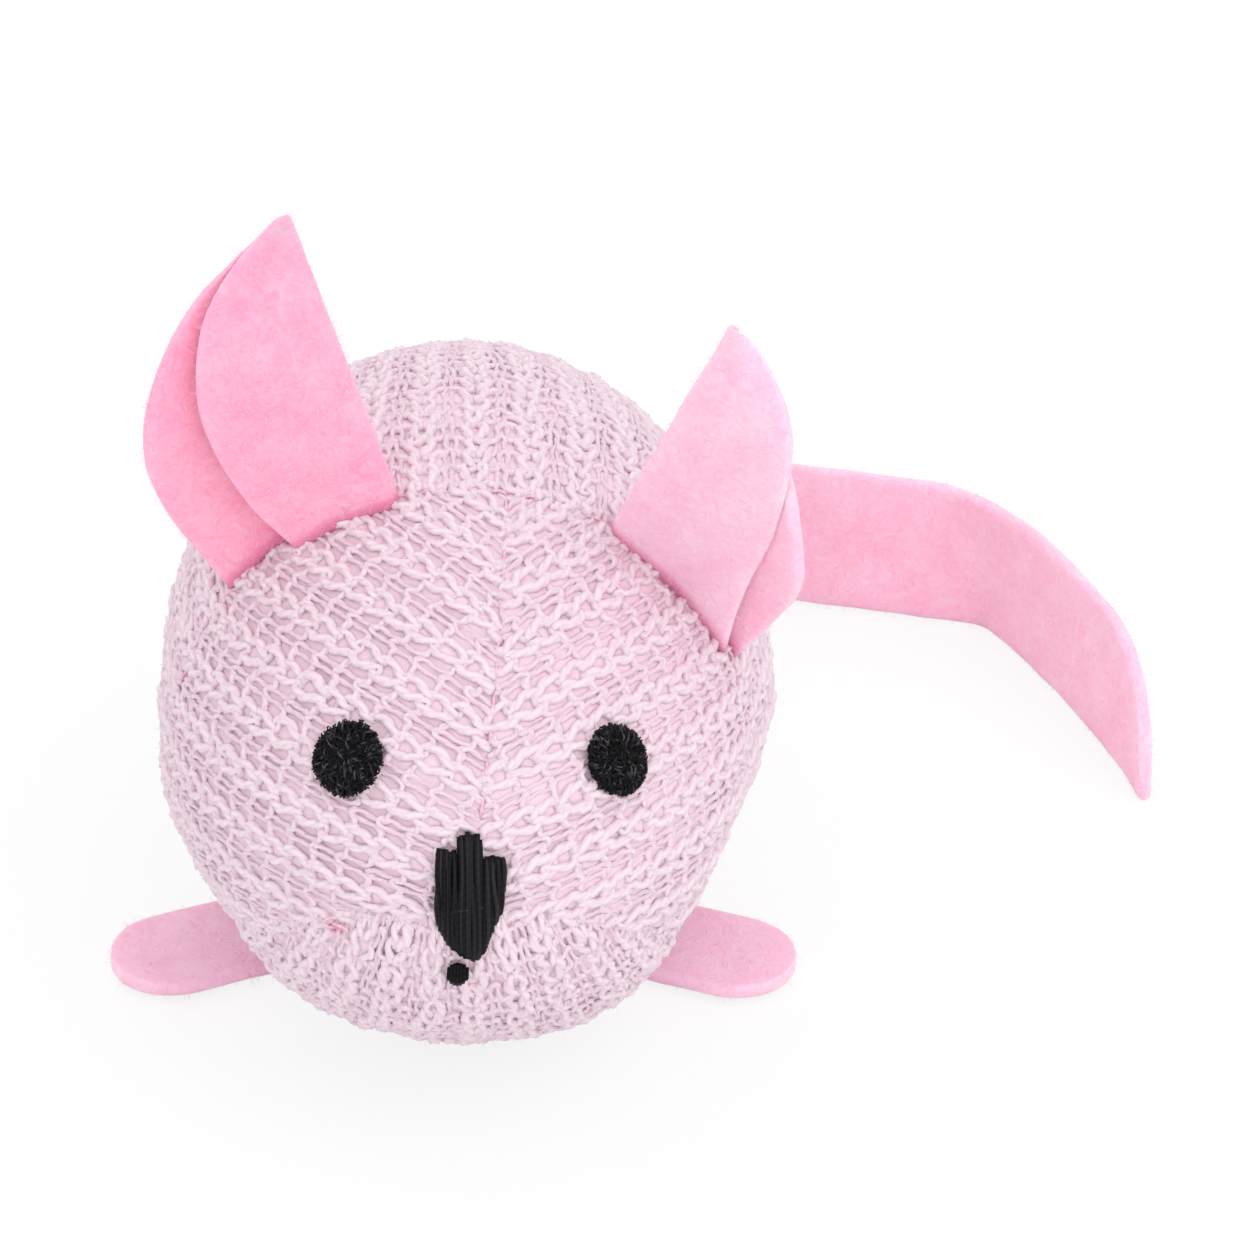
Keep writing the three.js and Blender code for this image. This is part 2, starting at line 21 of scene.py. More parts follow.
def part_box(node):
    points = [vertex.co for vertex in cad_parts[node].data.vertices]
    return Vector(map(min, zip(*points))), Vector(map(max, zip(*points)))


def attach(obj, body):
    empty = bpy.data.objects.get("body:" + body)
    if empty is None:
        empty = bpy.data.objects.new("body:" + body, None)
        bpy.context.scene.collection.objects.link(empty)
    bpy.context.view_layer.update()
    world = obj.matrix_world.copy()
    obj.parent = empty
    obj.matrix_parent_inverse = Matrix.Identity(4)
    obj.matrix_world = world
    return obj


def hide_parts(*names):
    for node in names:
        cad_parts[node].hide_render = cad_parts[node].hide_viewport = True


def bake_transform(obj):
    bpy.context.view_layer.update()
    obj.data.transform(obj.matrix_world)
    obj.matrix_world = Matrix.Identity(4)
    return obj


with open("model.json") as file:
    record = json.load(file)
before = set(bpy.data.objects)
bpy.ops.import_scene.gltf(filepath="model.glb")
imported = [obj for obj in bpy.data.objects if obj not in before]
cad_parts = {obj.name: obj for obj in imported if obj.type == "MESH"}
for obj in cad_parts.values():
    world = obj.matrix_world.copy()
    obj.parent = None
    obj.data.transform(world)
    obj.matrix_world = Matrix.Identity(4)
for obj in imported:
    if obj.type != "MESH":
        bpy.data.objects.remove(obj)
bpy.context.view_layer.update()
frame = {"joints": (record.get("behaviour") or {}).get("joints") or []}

scene = bpy.context.scene
mm = 0.001
tiny = 1e-9

# %% [markdown]
# The body is an egg: an ellipsoid that is pressed flat by half a millimetre where it rests. Its
# half sizes could be written here once more, but reading them from the back panel's box keeps the
# looks on the solids.

# %% The egg's sizes
rest_depth = 0.5 * mm
back_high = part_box("back_panel")[1]
egg_half = np.array([back_high.x, back_high.y, (back_high.z + rest_depth) / 2])
egg_middle = np.array([0, 0, back_high.z - egg_half[2]])
print("egg, half sizes in mm:", np.round(egg_half / mm, 2))

# %% [markdown]
# The camera looks at the mouse's face from above. A long lens, half a metre away, keeps the tail
# at nearly the same scale as the face. The camera first faces the body and is then turned by the
# shortest way to the middle of the picture, which keeps the face level and needs no lens shift.

# %% The camera
camera_rise = math.radians(33)
camera_distance = 500 * mm
camera_lens = 143.06
picture_middle = Vector((16.9, 2.7, 33.1)) * mm

camera_data = bpy.data.cameras.new("photo_camera")
camera_data.lens = camera_lens
camera_data.sensor_width = 36
camera = bpy.data.objects.new("photo_camera", camera_data)
scene.collection.objects.link(camera)
away = Vector((0, -math.cos(camera_rise), math.sin(camera_rise)))
camera.location = Vector(egg_middle) + camera_distance * away
to_body = away.to_track_quat("Z", "Y")
to_picture = (-away).rotation_difference(picture_middle - camera.location)
camera.rotation_euler = (to_picture @ to_body).to_euler()
scene.camera = camera
scene.view_settings.view_transform = "Standard"
print("camera at, in mm:", [round(x / mm) for x in camera.location])

# %% [markdown]
# Shader graphs are easier to read as arithmetic. Value wraps the output of a node, so that
# 1 - mask or noise * 0.3 adds a Math node, and Nodes makes every other node from its type, its
# settings and the values or links of its sockets.

# %% Shader arithmetic
class Value:
    """The output of a node, which takes part in plain arithmetic."""

    def __init__(self, nodes, socket):
        self.nodes = nodes
        self.socket = socket

    def maths(self, operation, first, second):
        return self.nodes.add("ShaderNodeMath", {"operation": operation}, {0: first, 1: second})

    def __add__(self, other):
        return self.maths("ADD", self, other)

    def __sub__(self, other):
        return self.maths("SUBTRACT", self, other)

    def __rsub__(self, other):
        return self.maths("SUBTRACT", other, self)

    def __mul__(self, other):
        return self.maths("MULTIPLY", self, other)

    __radd__ = __add__
    __rmul__ = __mul__


# %% Node trees
class Nodes:
    """A node tree that grows one call at a time."""

    def __init__(self, owner):
        owner.use_nodes = True
        self.owner = owner
        self.tree = owner.node_tree

    def add(self, kind, settings=None, sockets=None, output=0):
        node = self.tree.nodes.new(kind)
        for name, value in (settings or {}).items():
            setattr(node, name, value)
        for name, value in (sockets or {}).items():
            self.feed(node.inputs[name], value)
        return Value(self, node.outputs[output])

    def feed(self, socket, value):
        if isinstance(value, Value):
            self.tree.links.new(value.socket, socket)
        else:
            socket.default_value = value

    def mix(self, share, first, second):
        """A colour between two others. A Mix node lists its sockets for colours after other kinds."""
        sockets = {0: share, 6: first, 7: second}
        return self.add("ShaderNodeMix", {"data_type": "RGBA"}, sockets, output=2)

    def place(self):
        return self.add("ShaderNodeTexCoord", output="Object")

    def mark(self, name):
        """A number that the mesh carries at each of its points."""
        return self.add("ShaderNodeAttribute", {"attribute_name": name}, output="Fac")

    def noise(self, scale, detail, distortion=0):
        sockets = {"Vector": self.place(), "Scale": scale, "Detail": detail, "Distortion": distortion}
        return self.add("ShaderNodeTexNoise", None, sockets)

    def ramp(self, value, low, high):
        """The value stretched so that low becomes 0 and high becomes 1."""
        sockets = {"Value": value, "From Min": low, "From Max": high}
        return self.add("ShaderNodeMapRange", {"clamp": True}, sockets)

    def bump(self, height, distance):
        return self.add("ShaderNodeBump", None, {"Height": height, "Distance": distance})


# %% Colours and finishes
def colour(red, green, blue):
    """A colour from its screen values, as the light that it reflects."""
    shares = [x / 255 for x in (red, green, blue)]
    linear = [x / 12.92 if x <= 0.04045 else ((x + 0.055) / 1.055) ** 2.4 for x in shares]
    return (*linear, 1)


def finish(name, **sockets):
    """A new material with its shader's own sockets set. Underscores stand for spaces."""
    nodes = Nodes(bpy.data.materials.new(name))
    shader = nodes.tree.nodes["Principled BSDF"]
    nodes.shader = shader.inputs
    for socket, value in sockets.items():
        shader.inputs[socket.replace("_", " ")].default_value = value
    return nodes


# %% [markdown]
# The stage is a plain white floor under soft light. The floor shows the camera mostly its own
# white and takes only part of its tone from the light, so the mouse's shadow stays faint. A large
# lamp above and to the right of the camera models the form, weaker ones in front and behind light
# what stands upright, and the white world fills the rest.

# %% The white world
world_light = 1.04
white = (1, 1, 1, 1)


def seen_directly(nodes):
    """1 for rays from the camera, mirrors and glass, 0 for the light that falls on things."""
    kinds = ("Is Camera Ray", "Is Glossy Ray", "Is Transmission Ray")
    camera_ray, glossy, through = (nodes.add("ShaderNodeLightPath", output=kind) for kind in kinds)
    return nodes.ramp(camera_ray + glossy + through, 0, 1)


def mix_shaders(nodes, share, first, second, target):
    mixed = nodes.add("ShaderNodeMixShader", None, {0: share, 1: first, 2: second})
    nodes.tree.links.new(mixed.socket, nodes.tree.nodes[target].inputs["Surface"])


world = Nodes(bpy.data.worlds.new("white_studio"))
scene.world = world.owner
ambient = world.add("ShaderNodeBackground", None, {"Color": white, "Strength": world_light})
backdrop = world.add("ShaderNodeBackground", None, {"Color": white, "Strength": 1})
mix_shaders(world, seen_directly(world), ambient, backdrop, "World Output")
print("world light:", world_light)

# %% The floor
floor_reach = 3
floor_white = 0.9
floor_own_light = 0.82


def mesh_of(name, shape):
    """The mesh of a finished bmesh, which is then let go."""
    mesh = bpy.data.meshes.new(name)
    shape.to_mesh(mesh)
    shape.free()
    return mesh


floor_shape = bmesh.new()
bmesh.ops.create_grid(floor_shape, x_segments=1, y_segments=1, size=floor_reach)
floor = bpy.data.objects.new("floor", mesh_of("floor", floor_shape))
scene.collection.objects.link(floor)

floor_finish = finish("floor_white")
paper = floor_finish.add("ShaderNodeBsdfDiffuse", None, {"Color": (floor_white,) * 3 + (1,)})
glow = floor_finish.add("ShaderNodeEmission", None, {"Color": white, "Strength": 1})
own_light = seen_directly(floor_finish) * floor_own_light
mix_shaders(floor_finish, own_light, paper, glow, "Material Output")
floor.data.materials.append(floor_finish.owner)
print("floor reaches, in metres:", floor_reach)


# %% Lamps
def lamp(name, place, size, power):
    """A square lamp that faces the middle of the body, in metres and watts."""
    data = bpy.data.lights.new(name, "AREA")
    data.size = size
    data.energy = power
    holder = bpy.data.objects.new(name, data)
    scene.collection.objects.link(holder)
    holder.location = place
    towards = Vector(egg_middle) - Vector(place)
    holder.rotation_euler = towards.to_track_quat("-Z", "Y").to_euler()


lamp("key_lamp", (0.34, -0.28, 0.56), 0.45, 0.9)
lamp("front_lamp", (-0.05, -0.62, 0.34), 0.5, 0.6)
lamp("rear_lamp", (-0.30, 0.40, 0.56), 0.5, 0.4)
print("lamps:", len(bpy.data.lights))

# %% [markdown]
# The yarn is pale pink and softly twisted. Where a loop lies on top of the rib it catches the
# light, and in the furrow between two ribs it is painted a deeper mauve, as painted shade. A picture
# of yarn would be a simple finish, but it would repeat, and blur from close by. So each piece of
# yarn carries an attribute named lift, from 0 where it is drawn thin to 1 where it is full, and the
# colour follows it, with painted shade where the yarn is thin. The twist of a ply is a fine wave
# along it, from the attribute run, which measures the strand in metres, and from the strand's own
# UV map, which goes round it. It bumps the yarn and shades its colour faintly, as painted shade in
# the grooves between the plies.

# %% Yarn finish
yarn_light = colour(234, 214, 225)
# The deeper yarn tone is painted shade, for thin yarn deep in the furrows.
yarn_painted_shade = colour(228, 202, 216)
twist_pitch = 1.2 * mm
twist_strands = 2
yarn_relief = 0.08 * mm


def strand_twist(nodes, pitch, plies):
    """A wave that winds round a strand."""
    run = nodes.mark("run")
    around = nodes.add("ShaderNodeUVMap", {"uv_map": "UVMap"})
    turn = nodes.add("ShaderNodeSeparateXYZ", None, {0: around}, output="X")
    phase = run * (2 * math.pi / pitch) + turn * (2 * math.pi * plies)
    return nodes.add("ShaderNodeMath", {"operation": "SINE"}, {0: phase}) * 0.5 + 0.5


def yarn_finish():
    nodes = finish(
        "pink_yarn", Roughness=0.8, Specular_IOR_Level=0.2, Sheen_Weight=0.2, Sheen_Roughness=0.5
    )
    lift = nodes.mark("lift")
    twist = strand_twist(nodes, twist_pitch, twist_strands)
    cloud = nodes.noise(260, 3)
    # lift sets painted shade where the yarn is thin and deep, and the twist a faint painted shade in the
    # grooves between the plies; the cloud is the yarn's own uneven tone.
    tone = lift + (cloud - 0.5) * 0.5 + (twist - 0.5) * 0.12
    nodes.feed(nodes.shader["Base Color"], nodes.mix(tone, yarn_painted_shade, yarn_light))
    fibre = nodes.noise(9000, 2)
    nodes.feed(nodes.shader["Normal"], nodes.bump(twist + fibre * 0.5, yarn_relief))
    return nodes.owner


pink_yarn = yarn_finish()
print("made", pink_yarn.name)

# %% [markdown]
# Under the loops lies the thin lining that holds the fibre in. It only shows between the loops, so it
# is a dull cloth with a fine grain, coloured mauve as painted shade. The painted shade is deepest in
# the furrows and paler under the ribs: the attribute under_rib says which is which.

# %% Lining finish
# Both lining tones are painted shade, the deeper one for the furrows between the ribs.
lining_furrow_shade = colour(207, 179, 194)
lining_rib = colour(236, 211, 223)
lining_relief = 0.2 * mm


def lining_finish():
    nodes = finish("shaded_lining", Roughness=0.9)
    grain = nodes.ramp(nodes.noise(420, 4), 0.3, 0.7)
    under = nodes.mark("under_rib")
    tone = under * 0.8 + grain * 0.25
    nodes.feed(nodes.shader["Base Color"], nodes.mix(tone, lining_furrow_shade, lining_rib))
    nodes.feed(nodes.shader["Normal"], nodes.bump(grain, lining_relief))
    return nodes.owner


shaded_lining = lining_finish()
print("made", shaded_lining.name)

# %% [markdown]
# Cloth is laid on the egg by walking: a point is found by going straight ahead over the surface
# from a start, which lays flat cloth with little stretch. A map from the sphere would be shorter
# to write, but it would draw the loops out towards its poles.

# %% Places on the egg
def unit(vectors):
    return vectors / np.linalg.norm(vectors, axis=-1, keepdims=True)


def onto_egg(points):
    """Points moved along their rays from the middle to the egg's surface."""
    rays = points - egg_middle
    return egg_middle + rays / np.linalg.norm(rays / egg_half, axis=-1, keepdims=True)


def smoothstep(value, low, high):
    share = np.clip((value - low) / (high - low), 0, 1)
    return share * share * (3 - 2 * share)


def egg_normal(points):
    return unit((points - egg_middle) / egg_half**2)


def face_direction(turn, rise):
    """A direction by degrees to the mouse's left of its front tip and above it."""
    turn, rise = np.radians(turn), np.radians(rise)
    flat = np.cos(rise)
    return np.stack([flat * np.sin(turn), -flat * np.cos(turn), np.sin(rise)], axis=-1)


def surface_axes(point):
    """The directions along the surface, sideways and upwards, and straight out of it."""
    out = egg_normal(point)
    up = unit(np.array([0, 0, 1]) - out * out[2])
    return np.cross(up, out), up, out


walk_steps = 48


def walk_over_egg(start, heading, distance):
    """Points reached by going straight ahead over the surface."""
    points = np.broadcast_to(start, heading.shape).copy()
    ahead = heading.copy()
    for _ in range(walk_steps):
        points = onto_egg(points + ahead * (distance / walk_steps)[:, None])
        out = egg_normal(points)
        ahead = unit(ahead - out * np.sum(ahead * out, axis=1, keepdims=True))
    return points


# %% [markdown]
# Three seams part the four panels: one down the face, one across the crown, which holds the ears,
# and one round the belly. Each is a surface through the egg, so a point's distance from it says on
# which side of the seam the point lies, and how near.

# %% Seams
crown_roll = math.radians(9)
ear_seam_setback = 9.7 * mm
ear_seam_lean = math.radians(8.5)
belly_seam_height = 12 * mm
belly_seam_rise = 20 * mm
belly_seam_sharpness = 2.2

ear_seam_normal = np.array([0, math.cos(ear_seam_lean), -math.sin(ear_seam_lean)])
ear_seam_top = np.array([0, -ear_seam_setback, back_high.z])
face_seam_normal = np.array([math.cos(crown_roll), 0, -math.sin(crown_roll)])


def belly_seam(y):
    forward = np.maximum(0, -y / egg_half[1])
    return belly_seam_height + belly_seam_rise * forward**belly_seam_sharpness


def seam_offsets(points):
    """How far points lie behind the ear seam, left of the face seam and above the belly seam."""
    behind = (points - ear_seam_top) @ ear_seam_normal
    left = (points - egg_middle) @ face_seam_normal
    step = 0.1 * mm
    slope = (belly_seam(points[:, 1] + step) - belly_seam(points[:, 1] - step)) / (2 * step)
    above = (points[:, 2] - belly_seam(points[:, 1])) / np.hypot(1, slope)
    return behind, left, above


panel_inside = {
    "face_panel_left": lambda behind, left, above: np.minimum.reduce([-behind, left, above]),
    "face_panel_right": lambda behind, left, above: np.minimum.reduce([-behind, -left, above]),
    "back_panel": lambda behind, left, above: np.minimum(behind, above),
    "belly_panel": lambda behind, left, above: -above,
}


def seam_distance(points):
    """How far points lie from the nearest seam."""
    offsets = seam_offsets(points)
    return np.maximum.reduce([inside(*offsets) for inside in panel_inside.values()])


print("belly seam's height in front, in mm:", round(belly_seam(-egg_half[1]) / mm, 1))

# %% [markdown]
# Stuffing pushes the cloth out between its seams, which stay drawn in. The lining starts as a
# ball of triangles scaled to the egg, a little smaller than it will be, with its seams pulled in.
# A short run of cloth simulation, with pressure and no gravity, then swells it while the seams
# are pinned, and no point may move more than a set distance.

# %% Lumps of the filling
pushed_out = [
    (90, 0, 1.2, 16), (-69, -13, 0.8, 14), (26, -29, 1.2, 16),
    (56, -19, -1.0, 14), (-90, 5, -0.4, 25), (-30, -29, 0.7, 14),
]


def lumps(points):
    """How far the filling pushes the cloth out or leaves it slack. Lumps are in degrees and mm."""
    ahead = unit(points - egg_middle)
    total = np.zeros(len(points))
    for turn, rise, height, spread in pushed_out:
        apart = np.degrees(np.arccos(np.clip(ahead @ face_direction(turn, rise), -1, 1)))
        total += height * mm * np.exp(-((apart / spread) ** 2))
    return total


# %% Helpers for meshes
def new_piece(name, mesh):
    piece = bpy.data.objects.new(name, mesh)
    scene.collection.objects.link(piece)
    mesh.shade_smooth()
    return piece


def coordinates(mesh):
    flat = np.empty(3 * len(mesh.vertices), np.float32)
    mesh.vertices.foreach_get("co", flat)
    return flat.reshape(-1, 3).astype(float)


def move_to(mesh, points):
    mesh.vertices.foreach_set("co", np.asarray(points, np.float32).ravel())
    mesh.update()


def mend(mesh, change):
    """Runs a bmesh operator on a finished mesh."""
    shape = bmesh.new()
    shape.from_mesh(mesh)
    change(shape)
    shape.to_mesh(mesh)
    shape.free()


def mark(mesh, name, values):
    """Gives the mesh a number at each of its points, for its finish."""
    data = mesh.attributes.new(name, "FLOAT", "POINT").data
    data.foreach_set("value", np.asarray(values, np.float32))


def settle(piece):
    """Makes the piece's modifiers part of its mesh."""
    graph = bpy.context.evaluated_depsgraph_get()
    mesh = bpy.data.meshes.new_from_object(piece.evaluated_get(graph))
    piece.modifiers.clear()
    spare = piece.data
    piece.data = mesh
    bpy.data.meshes.remove(spare)
    mesh.name = piece.name


def soften(piece):
    """Rounds the piece with one subdivision."""
    rounding = piece.modifiers.new("rounding", "SUBSURF")
    rounding.levels = 1
    rounding.render_levels = 1
    settle(piece)


# %% Cloth pressure
swell_limit = 0.6 * mm
swell_frames = 20
swell_pressure = 4


def swell(piece, pinned):
    """Blows a closed mesh up with cloth pressure, its pinned points held."""
    start = coordinates(piece.data)
    group = piece.vertex_groups.new(name="seams")
    group.add([int(i) for i in np.flatnonzero(pinned)], 1.0, "REPLACE")
    cloth = piece.modifiers.new("stuffing_pressure", "CLOTH")
    cloth.settings.use_pressure = True
    cloth.settings.uniform_pressure_force = swell_pressure
    cloth.settings.effector_weights.gravity = 0
    cloth.settings.vertex_group_mass = group.name
    for number in range(1, swell_frames + 1):
        scene.frame_set(number)
    moved = piece.evaluated_get(bpy.context.evaluated_depsgraph_get()).to_mesh()
    travel = coordinates(moved) - start
    piece.modifiers.remove(cloth)
    piece.vertex_groups.remove(group)
    scene.frame_set(1)
    far = np.linalg.norm(travel, axis=1, keepdims=True)
    move_to(piece.data, start + travel * np.minimum(1, swell_limit / np.maximum(far, tiny)))
    return far.max()


# %% The stuffed lining
lining_depth = 0.95 * mm
lining_floor = 1.5 * mm
valley_depth = 0.4 * mm
valley_width = 2.0 * mm
pinned_width = 1.1 * mm


def stuffed_lining():
    ball = bmesh.new()
    bmesh.ops.create_icosphere(ball, subdivisions=5, radius=1)
    mesh = mesh_of("stuffed_lining", ball)
    on_egg = onto_egg(egg_middle + coordinates(mesh) * egg_half)
    from_seam = seam_distance(on_egg)
    depth = lining_depth + valley_depth * np.exp(-((from_seam / valley_width) ** 2))
    inner = on_egg + egg_normal(on_egg) * (lumps(on_egg) - depth)[:, None]
    inner[:, 2] = np.maximum(inner[:, 2], lining_floor)
    move_to(mesh, inner)
    piece = new_piece("stuffed_lining", mesh)
    print("swelled by up to, in mm:", round(swell(piece, from_seam < pinned_width) / mm, 2))
    soften(piece)
    piece.data.materials.append(shaded_lining)
    return piece


lining = stuffed_lining()
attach(lining, "body")
lining_tree = BVHTree.FromPolygons(
    [v.co for v in lining.data.vertices], [p.vertices[:] for p in lining.data.polygons]
)
print("lining points:", len(lining.data.vertices))

# %% Down to the lining
cast_from = 6 * mm


def onto_lining(points, height):
    """Points moved straight in from the egg to the lining, and then out by a height."""
    out = egg_normal(points)
    above = points + out * cast_from
    hits = [lining_tree.ray_cast(Vector(p), Vector(-n))[0] for p, n in zip(above, out)]
    height = np.broadcast_to(height, len(points))
    return np.array(hits) + out * height[:, None]


# %% [markdown]
# Every strand of yarn or thread is a curve with a round bevel, made a mesh. Its points carry a
# radius, and two attributes follow it into the mesh: lift, for the colour, and run, the distance
# along the strand. A bevelled curve lists the rings of its end caps first, last strand to first,
# and then the rings of each strand in order. It merges points that lie together, so these are left
# out beforehand.

# %% Strands
merge_distance = 0.002 * mm
weld_distance = 0.0001 * mm


def run_along(points):
    """How far along a line each of its points lies."""
    steps = np.linalg.norm(np.diff(points, axis=0), axis=1)
    return np.concatenate([[0], np.cumsum(steps)])


def add_strand(curve, points, shares, lift):
    """Adds one strand to a curve and gives the lifts and runs of the points that it keeps."""
    moves = np.linalg.norm(np.diff(points, axis=0, prepend=points[:1] - 1), axis=1)
    apart = moves > merge_distance
    points, shares, lift = points[apart], shares[apart], lift[apart]
    spline = curve.splines.new("POLY")
    spline.points.add(len(points) - 1)
    spline.points.foreach_set("co", np.c_[points, np.ones(len(points))].ravel())
    spline.points.foreach_set("radius", shares)
    return lift, run_along(points)


def strands_piece(name, strands, radius, sides=6):
    """One mesh of many strands. A strand is its points, its radius shares and its lifts."""
    curve = bpy.data.curves.new(name, "CURVE")
    curve.dimensions = "3D"
    curve.bevel_depth = radius
    curve.bevel_resolution = sides // 2 - 2
    curve.use_fill_caps = True
    lifts, runs = zip(*[add_strand(curve, *strand) for strand in strands])
    holder = bpy.data.objects.new(name, curve)
    scene.collection.objects.link(holder)
    mesh = bpy.data.meshes.new_from_object(holder)
    bpy.data.objects.remove(holder)
    bpy.data.curves.remove(curve)
    for attribute, values in (("lift", lifts), ("run", runs)):
        caps = [[v[-1], v[0]] for v in reversed(values)]
        rings = np.concatenate([np.ravel(caps), np.concatenate(values)])
        mark(mesh, attribute, np.repeat(rings, sides))
    mesh.name = name
    mend(mesh, lambda shape: bmesh.ops.remove_doubles(shape, verts=shape.verts, dist=weld_distance))
    return new_piece(name, mesh)


def plain_strand(points):
    """An even strand, of the deepest tone."""
    return points, np.ones(len(points)), np.zeros(len(points))


def dress_as(piece, node, material):
    """The piece stands for a node of the body."""
    piece.data.materials.append(material)
    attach(piece, "body")
    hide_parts(node)
    print(piece.name, "faces:", len(piece.data.polygons))
    return piece


# %% [markdown]
# Rib knit alternates columns of loops that face out with columns that face in. A bump of stripes
# would be quick to make, but it would leave a smooth outline and no loops. Here one course of yarn
# is a single line that passes through all of them. In a column that faces out it rises at the tip
# of the loop, runs up one leg in front, passes behind the next loop's tip and comes down the other
# leg. In the furrow it bridges the gap in front and leaves two thin legs deep inside. Each half
# loop is a short list of points, mirrored for its other half, and a smooth line goes through them:
# a share across the loop, a share along the column, a height in millimetres and how full the yarn
# is. The yarn is soft and beds itself into the lining, so only its upper half stands out. It has
# two plies, wound round that line. The cheek on the mouse's right is stretched more than the rest,
# so its cloth is more open, and the back is the least stretched along its columns.

# %% Loops and cloths
front_share = 0.55
front_loop = [
    (0.00, -0.55, 0.24, 0.7), (0.20, -0.62, 0.06, 0.8), (0.42, -0.60, 0.26, 1.0), (0.34, -0.36, 0.42, 1.0),
    (0.18, -0.02, 0.46, 1.0), (0.16, 0.32, 0.40, 1.0), (0.28, 0.60, 0.18, 0.9), (0.50, 0.72, 0.02, 0.8),
]
back_loop = [
    (0.00, -0.55, 0.24, 0.7), (0.17, -0.58, 0.30, 0.7), (0.32, -0.40, 0.24, 0.4),
    (0.33, 0.00, 0.16, 0.2), (0.31, 0.42, 0.24, 0.4), (0.50, 0.62, 0.36, 0.8),
]
# Each cloth's furrow value sets how pale the lining's painted shade is under its furrows. The left cheek's
# furrows are painted nearly as pale as its ribs, as painted light on the side that faces the key lamp; the
# chin's furrows take the deepest painted shade.
open_cloth = {
    "rib": 5.3 * mm, "course": 3.1 * mm, "radius": 0.52 * mm, "relief": 0.75, "uneven": 1.3,
    "points": 2, "overlap": 0.4 * mm, "furrow": 0.1,
}
close_cloth = {**open_cloth, "radius": 0.58 * mm, "furrow": 0.9}
back_ribs = 36
back_girth = math.pi * (egg_half[0] + egg_half[2])
back_cloth = {
    **close_cloth, "rib": back_girth / back_ribs, "course": 2.6 * mm, "relief": 0.65, "uneven": 1.9,
}
chin_cloth = {
    "rib": 5.2 * mm, "course": 2.3 * mm, "radius": 0.53 * mm, "relief": 0.6, "uneven": 2.6,
    "points": 2, "overlap": 1.6 * mm, "furrow": 0.0,
}
belly_cloth = {**chin_cloth, "points": 1}
print("back ribs:", back_ribs, "each, in mm:", round(back_cloth["rib"] / mm, 2))


# %% Courses
def whole_loop(half, start, width):
    """A loop and its mirrored half, from its left edge to just before its right edge."""
    half = np.array(half)
    left = half * (width, 1, mm, 1) + (start, 0, 0, 0)
    right = half[1:-1] * (-width, 1, mm, 1) + (start + width, 0, 0, 0)
    return np.concatenate([left, right[::-1]])


def smooth_line(points, span_points):
    """More points, on a smooth line through the given ones."""
    ends = [2 * points[:1] - points[1:2], points, 2 * points[-1:] - points[-2:-1]]
    padded = np.concatenate(ends)
    before, start, end, after = (padded[i : len(padded) - 3 + i, None] for i in range(4))
    share = (np.arange(span_points) / span_points)[None, :, None]
    slope = (end - before) * share
    bend = (2 * before - 5 * start + 4 * end - after) * share**2
    twist = (3 * start - before - 3 * end + after) * share**3
    return (start + (slope + bend + twist) / 2).reshape(-1, points.shape[1])


def course_line(ribs, cloth):
    """One course: its points across and along the columns, its height and its fullness."""
    front = cloth["rib"] * front_share
    one_rib = np.concatenate([
        whole_loop(front_loop, 0, front), whole_loop(back_loop, front, cloth["rib"] - front)
    ])
    repeats = [one_rib + (cloth["rib"] * number, 0, 0, 0) for number in range(-ribs, ribs)]
    return smooth_line(np.concatenate(repeats), cloth["points"]).T


# %% [markdown]
# Yarn made by formula alone looks like print. So each course strays a little sideways, up and out,
# and swells and thins, by smooth chance changes with a fixed seed. Its two plies are real strands:
# a single round strand would shine in one line along its top.

# %% Uneven yarn and its plies
ply_share = 0.76
ply_offset = 0.27
ply_pitch = 3.4 * mm
shortest_stretch = 5


def unbroken(keep):
    """The stretches of a row of flags that are set, but for very short ones."""
    edges = np.flatnonzero(np.diff(np.concatenate([[0], keep.astype(int), [0]])))
    return [slice(a, b) for a, b in zip(edges[::2], edges[1::2]) if b - a >= shortest_stretch]


def uneven(draw, across, cloth, size):
    """Smooth chance changes along a course, about two to a rib."""
    knots = np.arange(across[0], across[-1] + cloth["rib"], cloth["rib"] / 2)
    return np.interp(across, knots, draw.normal(0, size * cloth["uneven"], len(knots)))


def plies(points, shares, lift, radius, start):
    """The two plies of a yarn, wound round its line."""
    along = unit(np.gradient(points, axis=0) + tiny)
    side = unit(np.cross(along, egg_normal(points)))
    over = np.cross(side, along)
    turn = start + 2 * np.pi / ply_pitch * run_along(points)
    wound = np.cos(turn)[:, None] * side + np.sin(turn)[:, None] * over
    offset = wound * (ply_offset * radius * shares)[:, None]
    return [(points + sign * offset, ply_share * shares, lift) for sign in (1, -1)]


# %% [markdown]
# Brushed yarn and felt are both hairy. A hair system would be quick to add, but the export keeps
# only meshes, so each hair is a thin strand of three points: it leans away from its root, curls
# and thins towards its tip.

# %% Fine fibres
fibre_thickness = np.array([1, 0.9, 0.4])
yarn_fibre = {"radius": 0.02 * mm, "length": 1.3 * mm, "shortest": 0.5, "upright": 0.8, "stray": 0.7}


def fibres(name, roots, out, kind, material, draw):
    """Short curled fibres that stand out of a surface."""
    lean = unit(out * kind["upright"] + draw.normal(0, kind["stray"], roots.shape))
    curl = unit(lean + draw.normal(0, kind["stray"], roots.shape))
    length = kind["length"] * draw.uniform(kind["shortest"], 1, len(roots))[:, None]
    middles = roots + lean * length / 2
    tips = middles + curl * length / 2
    lines = [(np.array(line), fibre_thickness, fibre_thickness) for line in zip(roots, middles, tips)]
    piece = strands_piece(name, lines, kind["radius"], sides=4)
    piece.data.materials.append(material)
    return piece


# %% [markdown]
# Each face panel and the belly is laid on the egg from its own middle, with its columns of loops in
# its own direction. The back is laid otherwise: its columns run lengthwise all round the body and
# draw together at the rear, where such a toy is gathered and closed.

# %% Cloth on the egg
rear_fullness = 1.6
rear_least = 0.3


